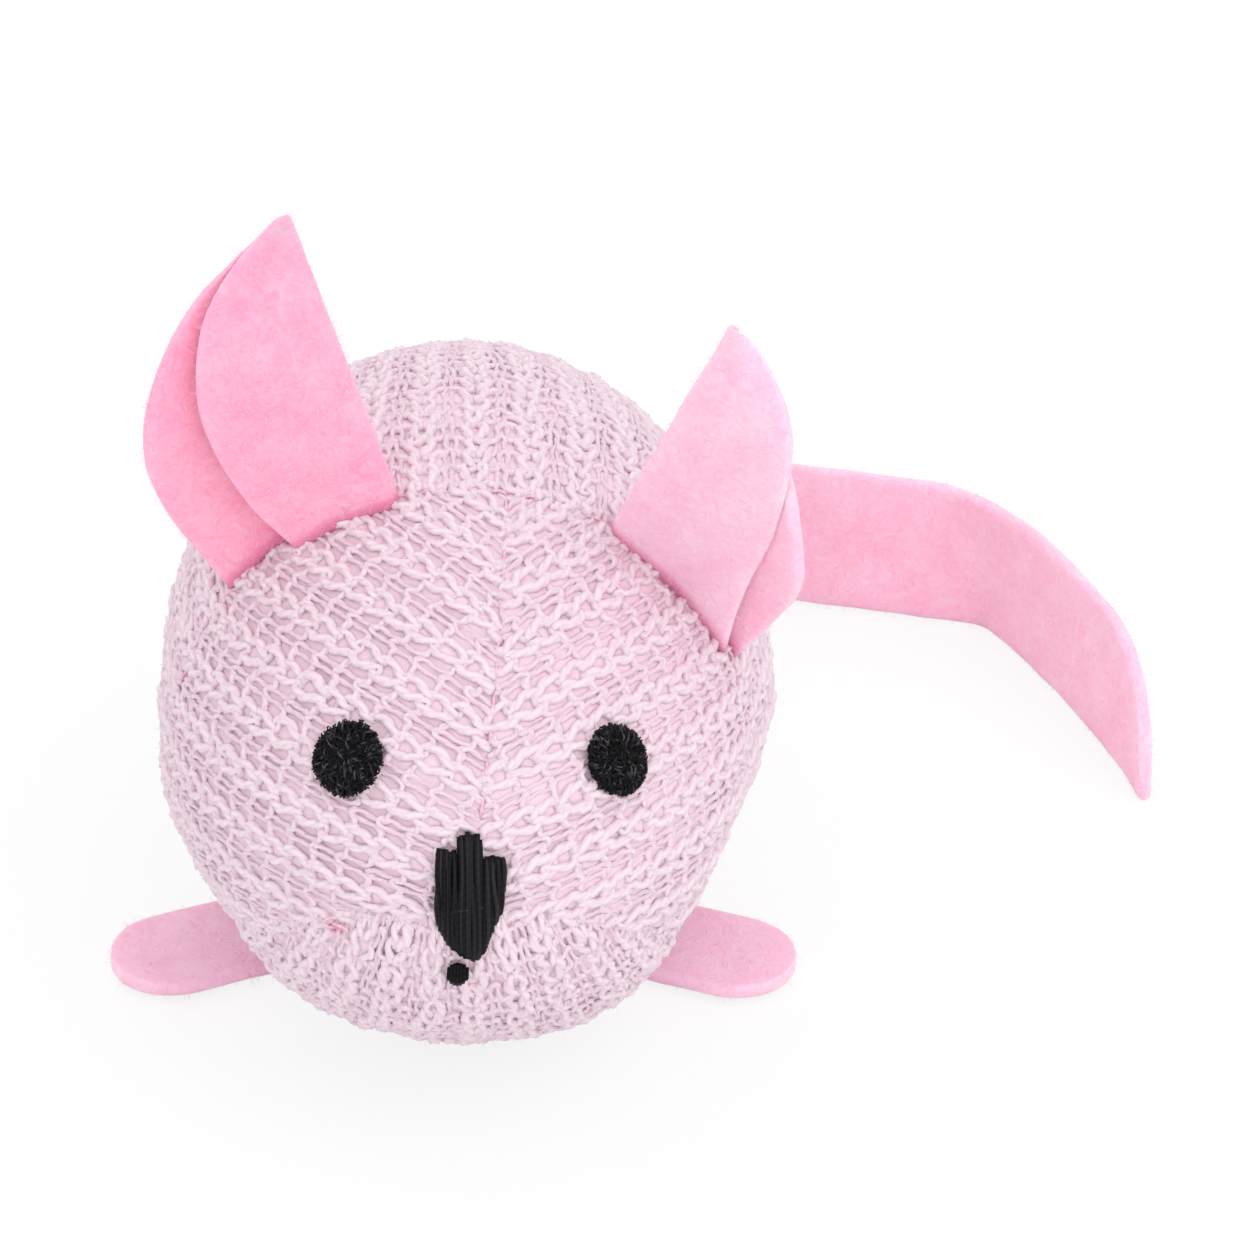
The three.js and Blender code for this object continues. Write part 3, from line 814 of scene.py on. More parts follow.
def laid_from(turn, rise, column_angle):
    """Cloth laid from a point of the egg, its columns turned from upright to the mouse's left."""
    start = onto_egg(egg_middle + face_direction(turn, rise))
    side, up, _ = surface_axes(start)
    angle = math.radians(column_angle)
    column = math.sin(angle) * side + math.cos(angle) * up
    row = math.cos(angle) * side - math.sin(angle) * up

    def place(across, along):
        distance = np.hypot(across, along)
        heading = (across[:, None] * row + along[:, None] * column) / np.maximum(distance, tiny)[:, None]
        return walk_over_egg(start, unit(heading), distance), np.ones(len(across))

    return place


def laid_lengthwise():
    """Cloth whose columns run from the ear seam back over the body and draw together at the rear."""
    angle = np.linspace(-np.pi / 2, np.pi / 2, 400)
    radius = back_girth / (2 * np.pi)
    steps = np.hypot(egg_half[1] * np.cos(angle), radius * np.sin(angle)) * (angle[1] - angle[0])
    run = np.cumsum(steps)
    run -= np.interp(0, angle, run)

    def place(across, along):
        forward = np.interp(along, run, angle)
        round_body = across / radius
        narrow = np.cos(forward)
        spot = np.stack(
            [narrow * np.sin(round_body), np.sin(forward), narrow * np.cos(round_body)], axis=1
        )
        return egg_middle + spot * egg_half, np.clip(narrow * rear_fullness, rear_least, 1)

    return place


# %% [markdown]
# A panel is its courses, one above the other, each cut where the panel ends. Near a seam the yarn
# dives to the lining, so that the seam lies in a valley. The back has so many loops that it is made
# in five bands. Every point of yarn also leaves a mark, for the painted shade of the lining under it.

# %% Knit panels
thin_share = 0.5
yarn_height = -0.10 * mm
sunk_height = -0.4 * mm
seam_dive = 0.6 * mm
off_table = 1.1
uneven_across = 0.13 * mm
uneven_along = 0.14 * mm
uneven_height = 0.05 * mm
uneven_thickness = 0.07
fuzz_count = 500
fuzz_from = 0.6
rib_marks = []


def knit_fuzz(name, strands, draw):
    """Fibres that stand off the upper loops."""
    points = np.concatenate([points[lift > fuzz_from] for points, _, lift in strands])
    roots = draw.choice(points, fuzz_count)
    return fibres(name + "_fuzz", roots, unit(roots - egg_middle), yarn_fibre, pink_yarn, draw)


def knit_panel(node, name, place, ribs, rows, cloth, seed):
    """The yarn of one panel, with so many ribs to each side and its rows from the first to the last.

    place turns distances across and along the columns into points on the egg.
    """
    draw = np.random.default_rng(seed)
    even, upward, relief, lift = course_line(ribs, cloth)
    lift = np.clip(lift, 0, 1)
    full = thin_share + (1 - thin_share) * lift
    # tone is the lining's painted shade under this yarn: 1 on a rib, the cloth's furrow value in a furrow.
    tone = np.where((even / cloth["rib"]) % 1 < front_share, 1, cloth["furrow"])
    strands = []
    for row in range(rows[0], rows[1] + 1):
        across = even + uneven(draw, even, cloth, uneven_across)
        along = (upward + row) * cloth["course"] + uneven(draw, even, cloth, uneven_along)
        height = cloth["relief"] * relief + uneven(draw, even, cloth, uneven_height)
        on_egg, narrow = place(across, along)
        depth = panel_inside[node](*seam_offsets(on_egg))
        clear = smoothstep(depth, -cloth["overlap"], seam_dive - cloth["overlap"] / 2)
        shares = full * narrow * (1 + uneven(draw, even, cloth, uneven_thickness))
        for part in unbroken(depth > -cloth["overlap"]):
            over_lining = sunk_height + (yarn_height + height[part] - sunk_height) * clear[part]
            points = onto_lining(on_egg[part], over_lining)
            points[:, 2] = np.maximum(points[:, 2], off_table * cloth["radius"])
            start = draw.uniform(0, 2 * np.pi)
            strands += plies(points, shares[part], lift[part], cloth["radius"], start)
            rib_marks.append((points, tone[part]))
    dress_as(strands_piece(name, strands, cloth["radius"], sides=4), node, pink_yarn)
    fuzz = knit_fuzz(name, strands, draw)
    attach(fuzz, "body")


knit_panel("face_panel_right", "face_knit_right", laid_from(-38, 20, -97), 8, (-16, 16), open_cloth, 1)
knit_panel("face_panel_left", "face_knit_left", laid_from(38, 20, 100), 8, (-16, 16), close_cloth, 2)
knit_panel("belly_panel", "chin_knit", laid_from(0, -60, 0), 8, (-2, 22), chin_cloth, 4)
knit_panel("belly_panel", "belly_knit", laid_from(0, -60, 0), 8, (-30, -3), belly_cloth, 3)
back_rows = {
    "shoulder_knit": (-8, -1), "back_knit": (0, 6), "loin_knit": (7, 12),
    "rump_knit": (13, 17), "rear_knit": (18, 22),
}
for seed, (name, rows) in enumerate(back_rows.items(), 5):
    knit_panel("back_panel", name, laid_lengthwise(), back_ribs // 2, rows, back_cloth, seed)

# %% Painted shade of the lining
near_points = 12


def mark_lining():
    """Marks on the lining how far the yarn over each point lies on a rib rather than in a furrow, for its
    painted shade.
    """
    points = np.concatenate([points for points, _ in rib_marks])
    tone = np.concatenate([tone for _, tone in rib_marks]).astype(np.float32)
    tree = KDTree(len(points))
    for index, point in enumerate(points):
        tree.insert(point, index)
    tree.balance()
    near = [[found[1] for found in tree.find_n(v.co, near_points)] for v in lining.data.vertices]
    mark(lining.data, "under_rib", tone[np.array(near)].mean(axis=1))
    print("lining marked from", len(points), "points of yarn")


mark_lining()

# %% [markdown]
# The seams are sewn with a doubled pink thread. It shows only as a row of small dashes in the
# valley between two panels, so it runs up and down through the cloth in a wave, deep enough to be
# lost in the knit for half of every stitch.

# %% Sewing thread
thread_pink = colour(236, 196, 212)
# The deeper pink is painted shade, wound along the twist of the thread.
thread_twist_shade = colour(226, 178, 198)
thread_radius = 0.15 * mm
thread_twist = 0.8 * mm
thread_gloss = 0.3
thread_relief = 0.03 * mm
thread_dip = 0.35 * mm
sewing_pitch = 3.4 * mm
thread_step = 0.35 * mm


def thread_finish(name, dark, tone, lit, gloss, pitch):
    """A twisted thread with a soft gloss. Along the twist its colour winds from dark to tone, as painted
    shade and painted highlight. Where its lift is above 0, it turns to the lit tone, a painted highlight.
    """
    nodes = finish(name, Roughness=0.5, Specular_IOR_Level=gloss)
    twist = strand_twist(nodes, pitch, twist_strands)
    lift = nodes.mark("lift")
    wound = nodes.mix(twist, dark, tone)
    nodes.feed(nodes.shader["Base Color"], nodes.mix(lift, wound, lit))
    nodes.feed(nodes.shader["Normal"], nodes.bump(twist, thread_relief))
    return nodes.owner


sewing_thread = thread_finish(
    "pink_thread", thread_twist_shade, thread_pink, thread_pink, thread_gloss, thread_twist
)
print("made", sewing_thread.name)


def evenly(points, step):
    """Points at equal distances along a line of points."""
    run = run_along(points)
    spots = np.linspace(0, run[-1], int(run[-1] / step) + 1)
    return spots, np.stack([np.interp(spots, run, points[:, axis]) for axis in range(3)], axis=1)


def sewn_seam(node, on_egg, height):
    """Running stitches along a seam."""
    run, even = evenly(on_egg, thread_step)
    wave = height + thread_dip * np.sin(2 * np.pi * run / sewing_pitch)
    points = onto_lining(even, wave)
    row = strands_piece(node + "_row", [plain_strand(points)], thread_radius)
    return dress_as(row, node, sewing_thread)


# %% Lines of the seams
belly_thread_height = -0.2 * mm


def face_seam_line():
    rise = np.radians(np.arange(-40, 90, 1.0))
    roll = np.sin(rise) * math.sin(crown_roll)
    ahead = np.stack([roll, -np.cos(rise), np.sin(rise) * math.cos(crown_roll)], axis=1)
    points = onto_egg(egg_middle + ahead)
    behind, _, above = seam_offsets(points)
    return points[(behind < 0) & (above > 0)]


def ear_seam_line():
    angle = np.radians(np.arange(-180, 181, 1.0))[:, None]
    upright = np.array([0, math.sin(ear_seam_lean), math.cos(ear_seam_lean)])
    ray = np.cos(angle) * upright + np.sin(angle) * np.array([1, 0, 0])
    start = ear_seam_normal * ((ear_seam_top - egg_middle) @ ear_seam_normal) / egg_half
    ahead = ray / egg_half
    square = np.sum(ahead**2, axis=1)
    half = ahead @ start
    reach = (-half + np.sqrt(half**2 - square * (start @ start - 1))) / square
    points = egg_middle + (start + ahead * reach[:, None]) * egg_half
    return points[seam_offsets(points)[2] > 0]


def belly_seam_line():
    y = -egg_half[1] * np.cos(np.linspace(0, np.pi, 400))
    z = belly_seam(y)
    inside = 1 - (y / egg_half[1]) ** 2 - ((z - egg_middle[2]) / egg_half[2]) ** 2
    y, z, inside = y[inside > 0], z[inside > 0], inside[inside > 0]
    x = egg_half[0] * np.sqrt(inside)
    right = np.stack([-x, y, z], axis=1)
    left = np.stack([x, y, z], axis=1)
    return np.concatenate([right, left[::-1]])


sewn_seam("face_seam_thread", face_seam_line(), 0.0)
sewn_seam("ear_seam_thread", ear_seam_line(), 0.0)
sewn_seam("belly_seam_thread", belly_seam_line(), belly_thread_height)

# %% [markdown]
# The last opening of the belly seam is drawn shut by hand and finished with a small knot, which
# pokes out of the knit beside the chin. A thread wound two and three times round a ring makes it.

# %% The closing knot
knot_radius = 0.9 * mm
knot_height = 0.6 * mm
knot_wave = 0.45
knot_flatness = 0.6
knot_lift = 0.4
knot_steps = 90


def closing_knot():
    low, high = (np.array(corner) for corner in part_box("closing_knot"))
    side, up, out = surface_axes(onto_egg((low + high) / 2))
    middle = onto_lining(onto_egg((low + high) / 2)[None], knot_height)[0]
    turn = np.linspace(0, 2 * np.pi, knot_steps)[:, None]
    ring = knot_radius * (1 + knot_wave * np.cos(3 * turn))
    loop = ring * np.cos(2 * turn) * side + knot_flatness * ring * np.sin(2 * turn) * up
    points = middle + loop + knot_lift * knot_radius * np.sin(3 * turn) * out
    return strands_piece("closing_knot_loop", [plain_strand(points)], thread_radius)


dress_as(closing_knot(), "closing_knot", sewing_thread)

# %% [markdown]
# Felt is a mat of pressed fibre: mottled in soft clouds, matt, and hairy along its edges. The
# colour mixes two pinks by a slow noise and a fine curled one, and turns a deeper pink where the
# felt goes into the knit, as painted shade in the crease. The bump is the same fine noise, and a
# sheen brightens the felt where it turns away, as its nap does. The nap's own fibres are painted
# paler than the mat, as a painted highlight on fibres that catch the light.

# %% Felt finish
def plain_finish(name, dark, light, scale):
    nodes = finish(name, Roughness=0.95)
    nodes.feed(nodes.shader["Base Color"], nodes.mix(nodes.noise(scale, 4), dark, light))
    return nodes.owner


# The crease colour is painted shade, where the felt goes into the knit.
felt_crease_shade = colour(224, 112, 158)
crease_shade_share = 0.75
felt_relief = 0.09 * mm


def felt_finish(name, deep, light):
    nodes = finish(
        name, Roughness=0.95, Sheen_Weight=0.3, Sheen_Roughness=0.4, Subsurface_Weight=0.5,
        Subsurface_Radius=(1.0, 0.5, 0.65), Subsurface_Scale=2.5 * mm,
    )
    cloud = nodes.ramp(nodes.noise(230, 3), 0.3, 0.7)
    fibre = nodes.ramp(nodes.noise(700, 4, distortion=2.5), 0.3, 0.7)
    mottled = nodes.mix(cloud * 0.45 + fibre * 0.5, deep, light)
    crease_shade_mask = nodes.mark("crease_shade_mask")
    nodes.feed(nodes.shader["Base Color"], nodes.mix(crease_shade_mask * crease_shade_share, mottled, felt_crease_shade))
    nodes.feed(nodes.shader["Normal"], nodes.bump(fibre + cloud * 0.4, felt_relief))
    return nodes.owner


# The right ear takes the deeper felt, and the left ear, the feet and the tail a lighter copy of the same
# felt, as painted light.
ear_felt = felt_finish("ear_felt", colour(247, 153, 187), colour(253, 188, 210))
felt_painted_lighter = felt_finish("felt_painted_lighter", colour(253, 181, 208), colour(255, 212, 229))
# The nap is painted paler than the mat, a painted highlight for the fibres that catch the light.
felt_nap = plain_finish("felt_nap", colour(253, 190, 214), colour(255, 222, 234), 600)
print("made", ear_felt.name, felt_painted_lighter.name, felt_nap.name)

# %% [markdown]
# Each felt piece is a grid of squares whose points are moved to their places on the bent sheet. Its
# outline could be cut out of a plate, but a grid's squares stay even, however it is folded.
# Solidify gives it the felt's thickness and one round of subdivision softens its edges. An
# attribute says how deep in the knit a point lies, for the painted shade of the creases. A slow
# noise leaves the sheet uneven. Blender starts it from the clock, so it gets a fixed seed here.

# %% Felt sheets
felt_thickness = 1.5 * mm
felt_unevenness = 0.12 * mm
felt_wander = 4 * mm
felt_seed = 1
pinch_low = -0.5 * mm
pinch_high = 0.6 * mm
noise.seed_set(felt_seed)


def felt_sheet(name, squares, place, felt, fullness=None):
    """A sheet of felt, so many squares across and along it.

    place turns two shares, each from -1 to 1, into points.
    fullness turns the same shares into shares of the felt's thickness, where it isn't even.
    """
    grid = bmesh.new()
    bmesh.ops.create_grid(grid, x_segments=squares[0], y_segments=squares[1], size=1)
    mesh = mesh_of(name, grid)
    flat = coordinates(mesh)
    move_to(mesh, place(flat[:, 0], flat[:, 1]))
    piece = new_piece(name, mesh)
    thickness = piece.modifiers.new("thickness", "SOLIDIFY")
    thickness.thickness = felt_thickness
    thickness.offset = 0
    if fullness:
        group = piece.vertex_groups.new(name="fullness")
        for index, share in enumerate(fullness(flat[:, 0], flat[:, 1])):
            group.add([index], share, "REPLACE")
        thickness.vertex_group = group.name
    soften(piece)
    piece.vertex_groups.clear()
    mend(piece.data, lambda shape: bmesh.ops.recalc_face_normals(shape, faces=shape.faces))
    points = coordinates(piece.data)
    wander = np.array([noise.noise_vector(Vector(p) / felt_wander) for p in points])
    move_to(piece.data, points + felt_unevenness * wander)
    out_of_egg = np.sum((points - onto_egg(points)) * egg_normal(points), axis=1)
    # The felt takes painted crease shade where it lies deep in the knit.
    mark(piece.data, "crease_shade_mask", 1 - smoothstep(out_of_egg, pinch_low, pinch_high))
    piece.data.materials.append(felt)
    piece.data.shade_smooth()
    return piece


# %% [markdown]
# The nap is a separate piece of fine short fibres, scattered over the sheet with a fixed seed, that
# lean along it in all directions. The ears are hairier than the rest.

# %% Nap and sewing on
nap_density = {"ear_felt": 2.1e6, "felt_painted_lighter": 1.0e6}
felt_fibre = {"radius": 0.019 * mm, "length": 1.3 * mm, "shortest": 0.4, "upright": 0.35, "stray": 0.6}


def nap(sheet, density, seed):
    """Fibres that stand out of a felt sheet, so many to the square metre."""
    draw = np.random.default_rng(seed)
    mesh = sheet.data
    mesh.calc_loop_triangles()
    corners = np.array([t.vertices for t in mesh.loop_triangles])
    areas = np.array([t.area for t in mesh.loop_triangles])
    normals = np.array([t.normal for t in mesh.loop_triangles])
    count = int(density * areas.sum())
    chosen = draw.choice(len(areas), count, p=areas / areas.sum())
    shares = draw.dirichlet((1, 1, 1), count)
    roots = np.einsum("nk,nkj->nj", shares, coordinates(mesh)[corners[chosen]])
    return fibres(sheet.name + "_nap", roots, normals[chosen], felt_fibre, felt_nap, draw)


hinges = {joint["name"]: joint for joint in frame["joints"]}


def sew_on(sheet, node, joint, leaves, run, seed):
    """Gives a felt piece its nap and hides the node that it stands for. Its leaves and run are not used.
    """
    start = np.array(hinges[joint]["pos_m"])
    fuzz = nap(sheet, nap_density[sheet.data.materials[0].name], seed)
    for piece in (sheet, fuzz):
        start + run * unit(leaves)
        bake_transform(piece)
    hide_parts(node)
    print(sheet.name, "faces:", len(sheet.data.polygons), "nap faces:", len(fuzz.data.polygons))


# %% [markdown]
# An ear is a leaf of felt folded lengthwise, its rounded flaps side by side, with the foot of
# the fold sewn into the ear seam. The flaps part above the seam, and each flap cups a little. Cloth
# simulation could fold a flat leaf, but where it comes to rest is hard to steer. So the shape is
# worked out per point: how far up the ear, and how far round from the front flap's free edge over
# the fold to the rear flap's. Towards the tip the flaps close and the fold is pressed thin. Each
# ear's own lengths are in millimetres, and its angles in degrees.

# %% The two ears
fold_radius = 0.95 * mm
fold_share = 0.16
opens_from = -0.1
opens_by = 0.5
tip_from = 0.6
tip_closing = 0.9
tip_pressed_from = 0.75
tip_tightening = 0.82
tip_thinning = 0.8
least_flap = 0.7 * mm
foot_spread = 0.2
ear_cup = math.radians(9)
right_ear = {
    "length": 29.5, "outward": 19.4, "forward": -6.8,
    "front": {"width": 13.3, "widest": 0.43, "foot": 0.78, "taper": 0.71, "spread": 17},
    "rear": {"width": 19.8, "widest": 0.32, "foot": 0.94, "taper": 0.9, "spread": 8.7},
}
left_ear = {
    "length": 31.4, "outward": 18.4, "forward": 22.5,
    "front": {"width": 12.6, "widest": 0.22, "foot": 1.035, "taper": 0.52, "spread": 11.5},
    "rear": {"width": 17.1, "widest": 0.14, "foot": 0.99, "taper": 1.38, "spread": 9.4},
}
print("lengths of the ears, in mm:", left_ear["length"], right_ear["length"])


# %% Points of an ear
def turned(vector, axis, angle):
    """A vector turned about a unit axis."""
    axis = np.asarray(axis, float)
    return (
        vector * math.cos(angle)
        + np.cross(axis, vector) * math.sin(angle)
        + axis * (axis @ vector) * (1 - math.cos(angle))
    )


def flap_width(flap, share):
    """The width of a flap up the ear."""
    below = np.clip((flap["widest"] - share) / flap["widest"], 0, 3)
    above = np.clip((share - flap["widest"]) / (1 - flap["widest"]), 0, 1)
    towards_foot = 1 - (1 - flap["foot"]) * below**2
    towards_tip = (1 - above**2) ** flap["taper"]
    width = flap["width"] * mm * np.where(share < flap["widest"], towards_foot, towards_tip)
    return np.maximum(width, least_flap)


def ear_point(side, shape, hinge):
    """How a point of an ear follows from its share up the ear and its place round the leaf."""
    foot = np.array(hinge["pos_m"])
    length = shape["length"] * mm
    up = turned(np.array([0.0, 0, 1]), [0, 1, 0], side * math.radians(shape["outward"]))
    up = turned(up, [1, 0, 0], math.radians(shape["forward"]))
    sewn = np.array(hinge["axis"]) * side
    outward = unit(sewn - up * (sewn @ up))
    frontward = np.cross(up, outward) * -side
    foot = foot + outward * (fold_radius + felt_thickness / 2)

    def polar(angle, radius):
        return (radius * np.cos(angle))[:, None] * outward + (radius * np.sin(angle))[:, None] * frontward

    def point(share, around):
        closed = tip_closing * smoothstep(share, tip_from, 1)
        opening = smoothstep(share, opens_from, opens_by) * (1 - closed)
        front = math.radians(shape["front"]["spread"]) * (foot_spread + (1 - foot_spread) * opening)
        rear = math.radians(shape["rear"]["spread"]) * opening
        front_side = front + np.pi / 2
        rear_side = rear + 1.5 * np.pi
        fold = np.clip((around + fold_share) / (2 * fold_share), 0, 1)
        angle = front_side + (rear_side - front_side) * fold
        flap = np.clip((np.abs(around) - fold_share) / (1 - fold_share), 0, 1)
        width = np.where(around < 0, flap_width(shape["front"], share), flap_width(shape["rear"], share))
        cup = ear_cup * opening * (flap - 0.5) * np.where(around < 0, -1, 1)
        heading = np.where(around < 0, front, rear) + cup
        pressed = smoothstep(share, tip_pressed_from, 1)
        radius = fold_radius * (1 - tip_tightening * pressed)
        thinner = fold_radius * tip_tightening + felt_thickness / 2 * tip_thinning
        fold_line = foot + (share * length)[:, None] * up - (thinner * pressed)[:, None] * outward
        return fold_line + polar(angle, radius) + polar(heading, flap * width)

    return point, up


# %% [markdown]
# Each line up the ear starts just under the knit. Where that is follows from halving: a share that
# lies inside the body and one outside it close in on the place between them.

# %% Ears
ear_root_depth = 1.6 * mm
ear_top = 0.992
tip_crowding = 1.35
leaf_allowance = 1.15
leaf_fullness = 0.8
ear_bend_run = 5 * mm
ear_grid = (44, 34)
lowest_root = -0.5
highest_root = 0.6
halvings = 30


def ear_root(point, around):
    """The share up the ear where each line of it meets the sewn depth under the knit."""
    inside, outside = np.full(len(around), lowest_root), np.full(len(around), highest_root)
    for _ in range(halvings):
        halfway = (inside + outside) / 2
        spot = (point(halfway, around) - egg_middle) / (egg_half - ear_root_depth)
        within = np.linalg.norm(spot, axis=1) < 1
        inside, outside = np.where(within, halfway, inside), np.where(within, outside, halfway)
    return inside


def make_ear(node, joint, side, shape, felt, seed):
    point, up = ear_point(side, shape, hinges[joint])

    def share_up(across, along):
        root = ear_root(point, across)
        return root + (ear_top - root) * (1 - (0.5 - along / 2) ** tip_crowding)

    def place(across, along):
        return point(share_up(across, along), across)

    def fullness(across, along):
        return 1 - tip_thinning * smoothstep(share_up(across, along), tip_pressed_from, 1)

    sheet = felt_sheet(node + "_felt", ear_grid, place, felt, fullness)
    width = (shape["front"]["width"] + shape["rear"]["width"]) * mm + np.pi * fold_radius
    flat = (width, leaf_allowance * shape["length"] * mm)
    area = leaf_fullness * flat[0] * flat[1]
    sew_on(sheet, node, joint, up, ear_bend_run, seed)


make_ear("ear_left", "left_ear_bend", 1, left_ear, felt_painted_lighter, 11)
make_ear("ear_right", "right_ear_bend", -1, right_ear, ear_felt, 12)

# %% [markdown]
# A foot is a tongue of felt with a round end. Its inner end is caught in the belly, so only the
# outer half shows, lying almost flat on the table and lifting slightly towards its tip. The grid is
# drawn in towards that end along a circle.

# %% Feet
foot_half = 6.5 * mm
foot_inner = 8 * mm
foot_splay = math.radians(24.6)
foot_level = 1.05 * mm
foot_tip_lift = 0.5 * mm
foot_straight = 0.6
foot_rounding = math.radians(84)
foot_bend_run = 4 * mm
foot_grid = (16, 30)


def make_foot(node, joint, side, foot_reach, foot_setback, seed):
    ahead = np.array([side * math.cos(foot_splay), -math.sin(foot_splay), 0])
    sideways = np.array([-ahead[1], ahead[0], 0])

    def place(across, along):
        straight = foot_reach - foot_half - foot_inner
        share = (along + 1) / 2
        bend = np.clip((share - foot_straight) / (1 - foot_straight), 0, 1) * foot_rounding
        run = foot_inner + straight * np.clip(share / foot_straight, 0, 1) + foot_half * np.sin(bend)
        lift = foot_level + foot_tip_lift * smoothstep(run, foot_inner, foot_reach)
        flat = run[:, None] * ahead + (across * foot_half * np.cos(bend))[:, None] * sideways
        flat[:, 1] += foot_setback
        flat[:, 2] = lift
        return flat

    sheet = felt_sheet(node + "_felt", foot_grid, place, felt_painted_lighter)
    sew_on(sheet, node, joint, ahead, foot_bend_run, seed)


make_foot("foot_left", "left_foot_bend", 1, 36.7 * mm, 3.3 * mm, 13)
make_foot("foot_right", "right_foot_bend", -1, 38.3 * mm, 4.6 * mm, 14)

# %% [markdown]
# The tail is one long strip of felt that stands on its lower edge. It leaves the rear of the body,
# bends round to the mouse's left, runs straight, takes a knee and ends in a rounded point. Its
# course over the table is a list of runs, each with a length and the angle that it turns through.

# %% The tail's course
tail_shift = 1.5 * mm
tail_tuck = 14 * mm
tail_runs = [
    (tail_tuck + 3.3 * mm, 0),
    (16 * mm * math.radians(104), 104),
    (37.8 * mm, 0),
    (3 * mm * math.radians(48), 48),
    (36.5 * mm, 14),
]
runs_before_knee = 3
tail_step = 0.25 * mm


def tail_course():
    """Distances along the tail, its place over the table at each and its heading there."""
    counts = [int(run / tail_step) for run, _ in tail_runs]
    rates = [math.radians(turn) / run for run, turn in tail_runs]
    turns = np.repeat(rates, counts)
    heading = np.concatenate([[0], np.cumsum(turns * tail_step)])
    spots = np.arange(len(heading)) * tail_step
    middle = (heading[1:] + heading[:-1]) / 2
    x = tail_shift + np.concatenate([[0], np.cumsum(np.sin(middle) * tail_step)])
    y = egg_half[1] - tail_tuck + np.concatenate([[0], np.cumsum(np.cos(middle) * tail_step)])
    return spots, x, y, heading


print("tail's length, in mm:", round(tail_course()[0][-1] / mm, 1))

# %% [markdown]
# A curve with a flat bevel could make the strip, but its two edges would then take the bends alike.
# The real one's upper edge takes them more gently than the lower one, which rests on the table. So
# its line is the lower one's, averaged along its length. The strip also leans a little to one side
# after its root and to the other past the knee.

# %% Tail
tail_width = 17 * mm
tail_point = 12 * mm
tail_point_height = 1 * mm
tail_foot = 0.3 * mm
tail_root_depth = 1.2 * mm
tail_lean = 2.6 * mm
knee_lean = 0.6
root_lean = 0.5
knee_run = 6 * mm
tail_easing = 72
tail_leaves = np.array([0.6, 0.8, 0])
tail_bend_run = 8 * mm
tail_fullness = 0.95
tail_grid = (14, 110)


def eased(values, window):
    """A line's values averaged over a window that shrinks towards the line's ends."""
    sums = np.concatenate([[0], np.cumsum(values)])
    place = np.arange(len(values))
    half = np.minimum.reduce([np.full(len(values), window // 2), place, place[::-1]])
    return (sums[place + half + 1] - sums[place - half]) / (2 * half + 1)


def make_tail():
    spots, x, y, heading = tail_course()
    top_x, top_y = eased(x, tail_easing), eased(y, tail_easing)
    total = spots[-1]
    knee = sum(run for run, _ in tail_runs[:runs_before_knee])
    inner_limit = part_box("tail")[0].y

    def place(across, along):
        share = (along + 1) / 2
        up = (across + 1) / 2
        level = tail_foot + tail_width * up
        hidden = 1 - (tail_shift / egg_half[0]) ** 2 - ((level - egg_middle[2]) / egg_half[2]) ** 2
        rear = egg_half[1] * np.sqrt(np.maximum(hidden, 0)) - tail_root_depth
        root = np.maximum(rear, inner_limit) - (egg_half[1] - tail_tuck)
        run = root + (total - root) * share
        pointed = np.clip((run - total) / tail_point + 1, 0, 1)
        height = tail_point_height + (tail_width - tail_point_height) * np.sqrt(1 - pointed**2)
        past_knee = smoothstep(run, knee - knee_run, knee + knee_run)
        past_root = smoothstep(run, tail_tuck, 3 * tail_tuck)
        lean = tail_lean * (knee_lean * past_knee - root_lean * past_root) * up
        turn = np.interp(run, spots, heading)
        before = np.minimum(run, 0)
        low_x, low_y = np.interp(run, spots, x), np.interp(run, spots, y)
        high_x, high_y = np.interp(run, spots, top_x), np.interp(run, spots, top_y)
        place_x = low_x + (high_x - low_x) * up + lean * np.cos(turn)
        place_y = low_y + (high_y - low_y) * up - lean * np.sin(turn) + before
        return np.stack([place_x, place_y, tail_foot + height * up], axis=1)

    sheet = felt_sheet("tail_felt", tail_grid, place, felt_painted_lighter)
    area = tail_fullness * tail_width * total
    sew_on(sheet, "tail", "tail_swing", tail_leaves, tail_bend_run, 15)


make_tail()

# %% [markdown]
# The face is stitched last, in black thread with a soft gloss, over the finished knit. Painted or
# bumped patches would stay flat, so each stitch is a strand of its own: it starts on the knit,
# arches up to its crown and goes back down. A worn thread frays, and its loose ends, like some of its
# threads, are painted grey as painted highlights where they catch the light.

# %% Stitches
black = colour(4, 4, 5)
# The glint and the grey are painted highlights: the glint wound along the twist, the grey on loose ends
# and threads that catch the light.
black_glint = colour(16, 14, 18)
thread_painted_highlight = colour(84, 79, 86)
black_radius = 0.19 * mm
black_gloss = 0.14
black_twist = 0.9 * mm
black_thread = thread_finish("black_thread", black, black_glint, thread_painted_highlight, black_gloss, black_twist)
stitch_base = 0.75 * mm


def on_patch(node):
    """Places points over the knit by their offsets from the middle of a stitched node."""
    low, high = (np.array(corner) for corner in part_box(node))
    centre = onto_egg((low + high) / 2)
    side, up, _ = surface_axes(centre)

    def place(x, y, height):
        flat = centre + np.outer(x, side) + np.outer(y, up)
        return onto_lining(onto_egg(flat), stitch_base + height)

    return place


def stitch(place, start, end, base, crown, steps=7, sway=0, lit=0):
    """One stitch between two points of a patch, arched up to its crown and swaying sideways."""
    share = np.linspace(0, 1, steps)
    x = start[0] + (end[0] - start[0]) * share + sway * np.sin(2 * np.pi * share)
    y = start[1] + (end[1] - start[1]) * share
    height = base + (crown - base) * np.sin(np.pi * share)
    return place(x, y, height), np.ones(steps), np.full(steps, lit)


print("made", black_thread.name)

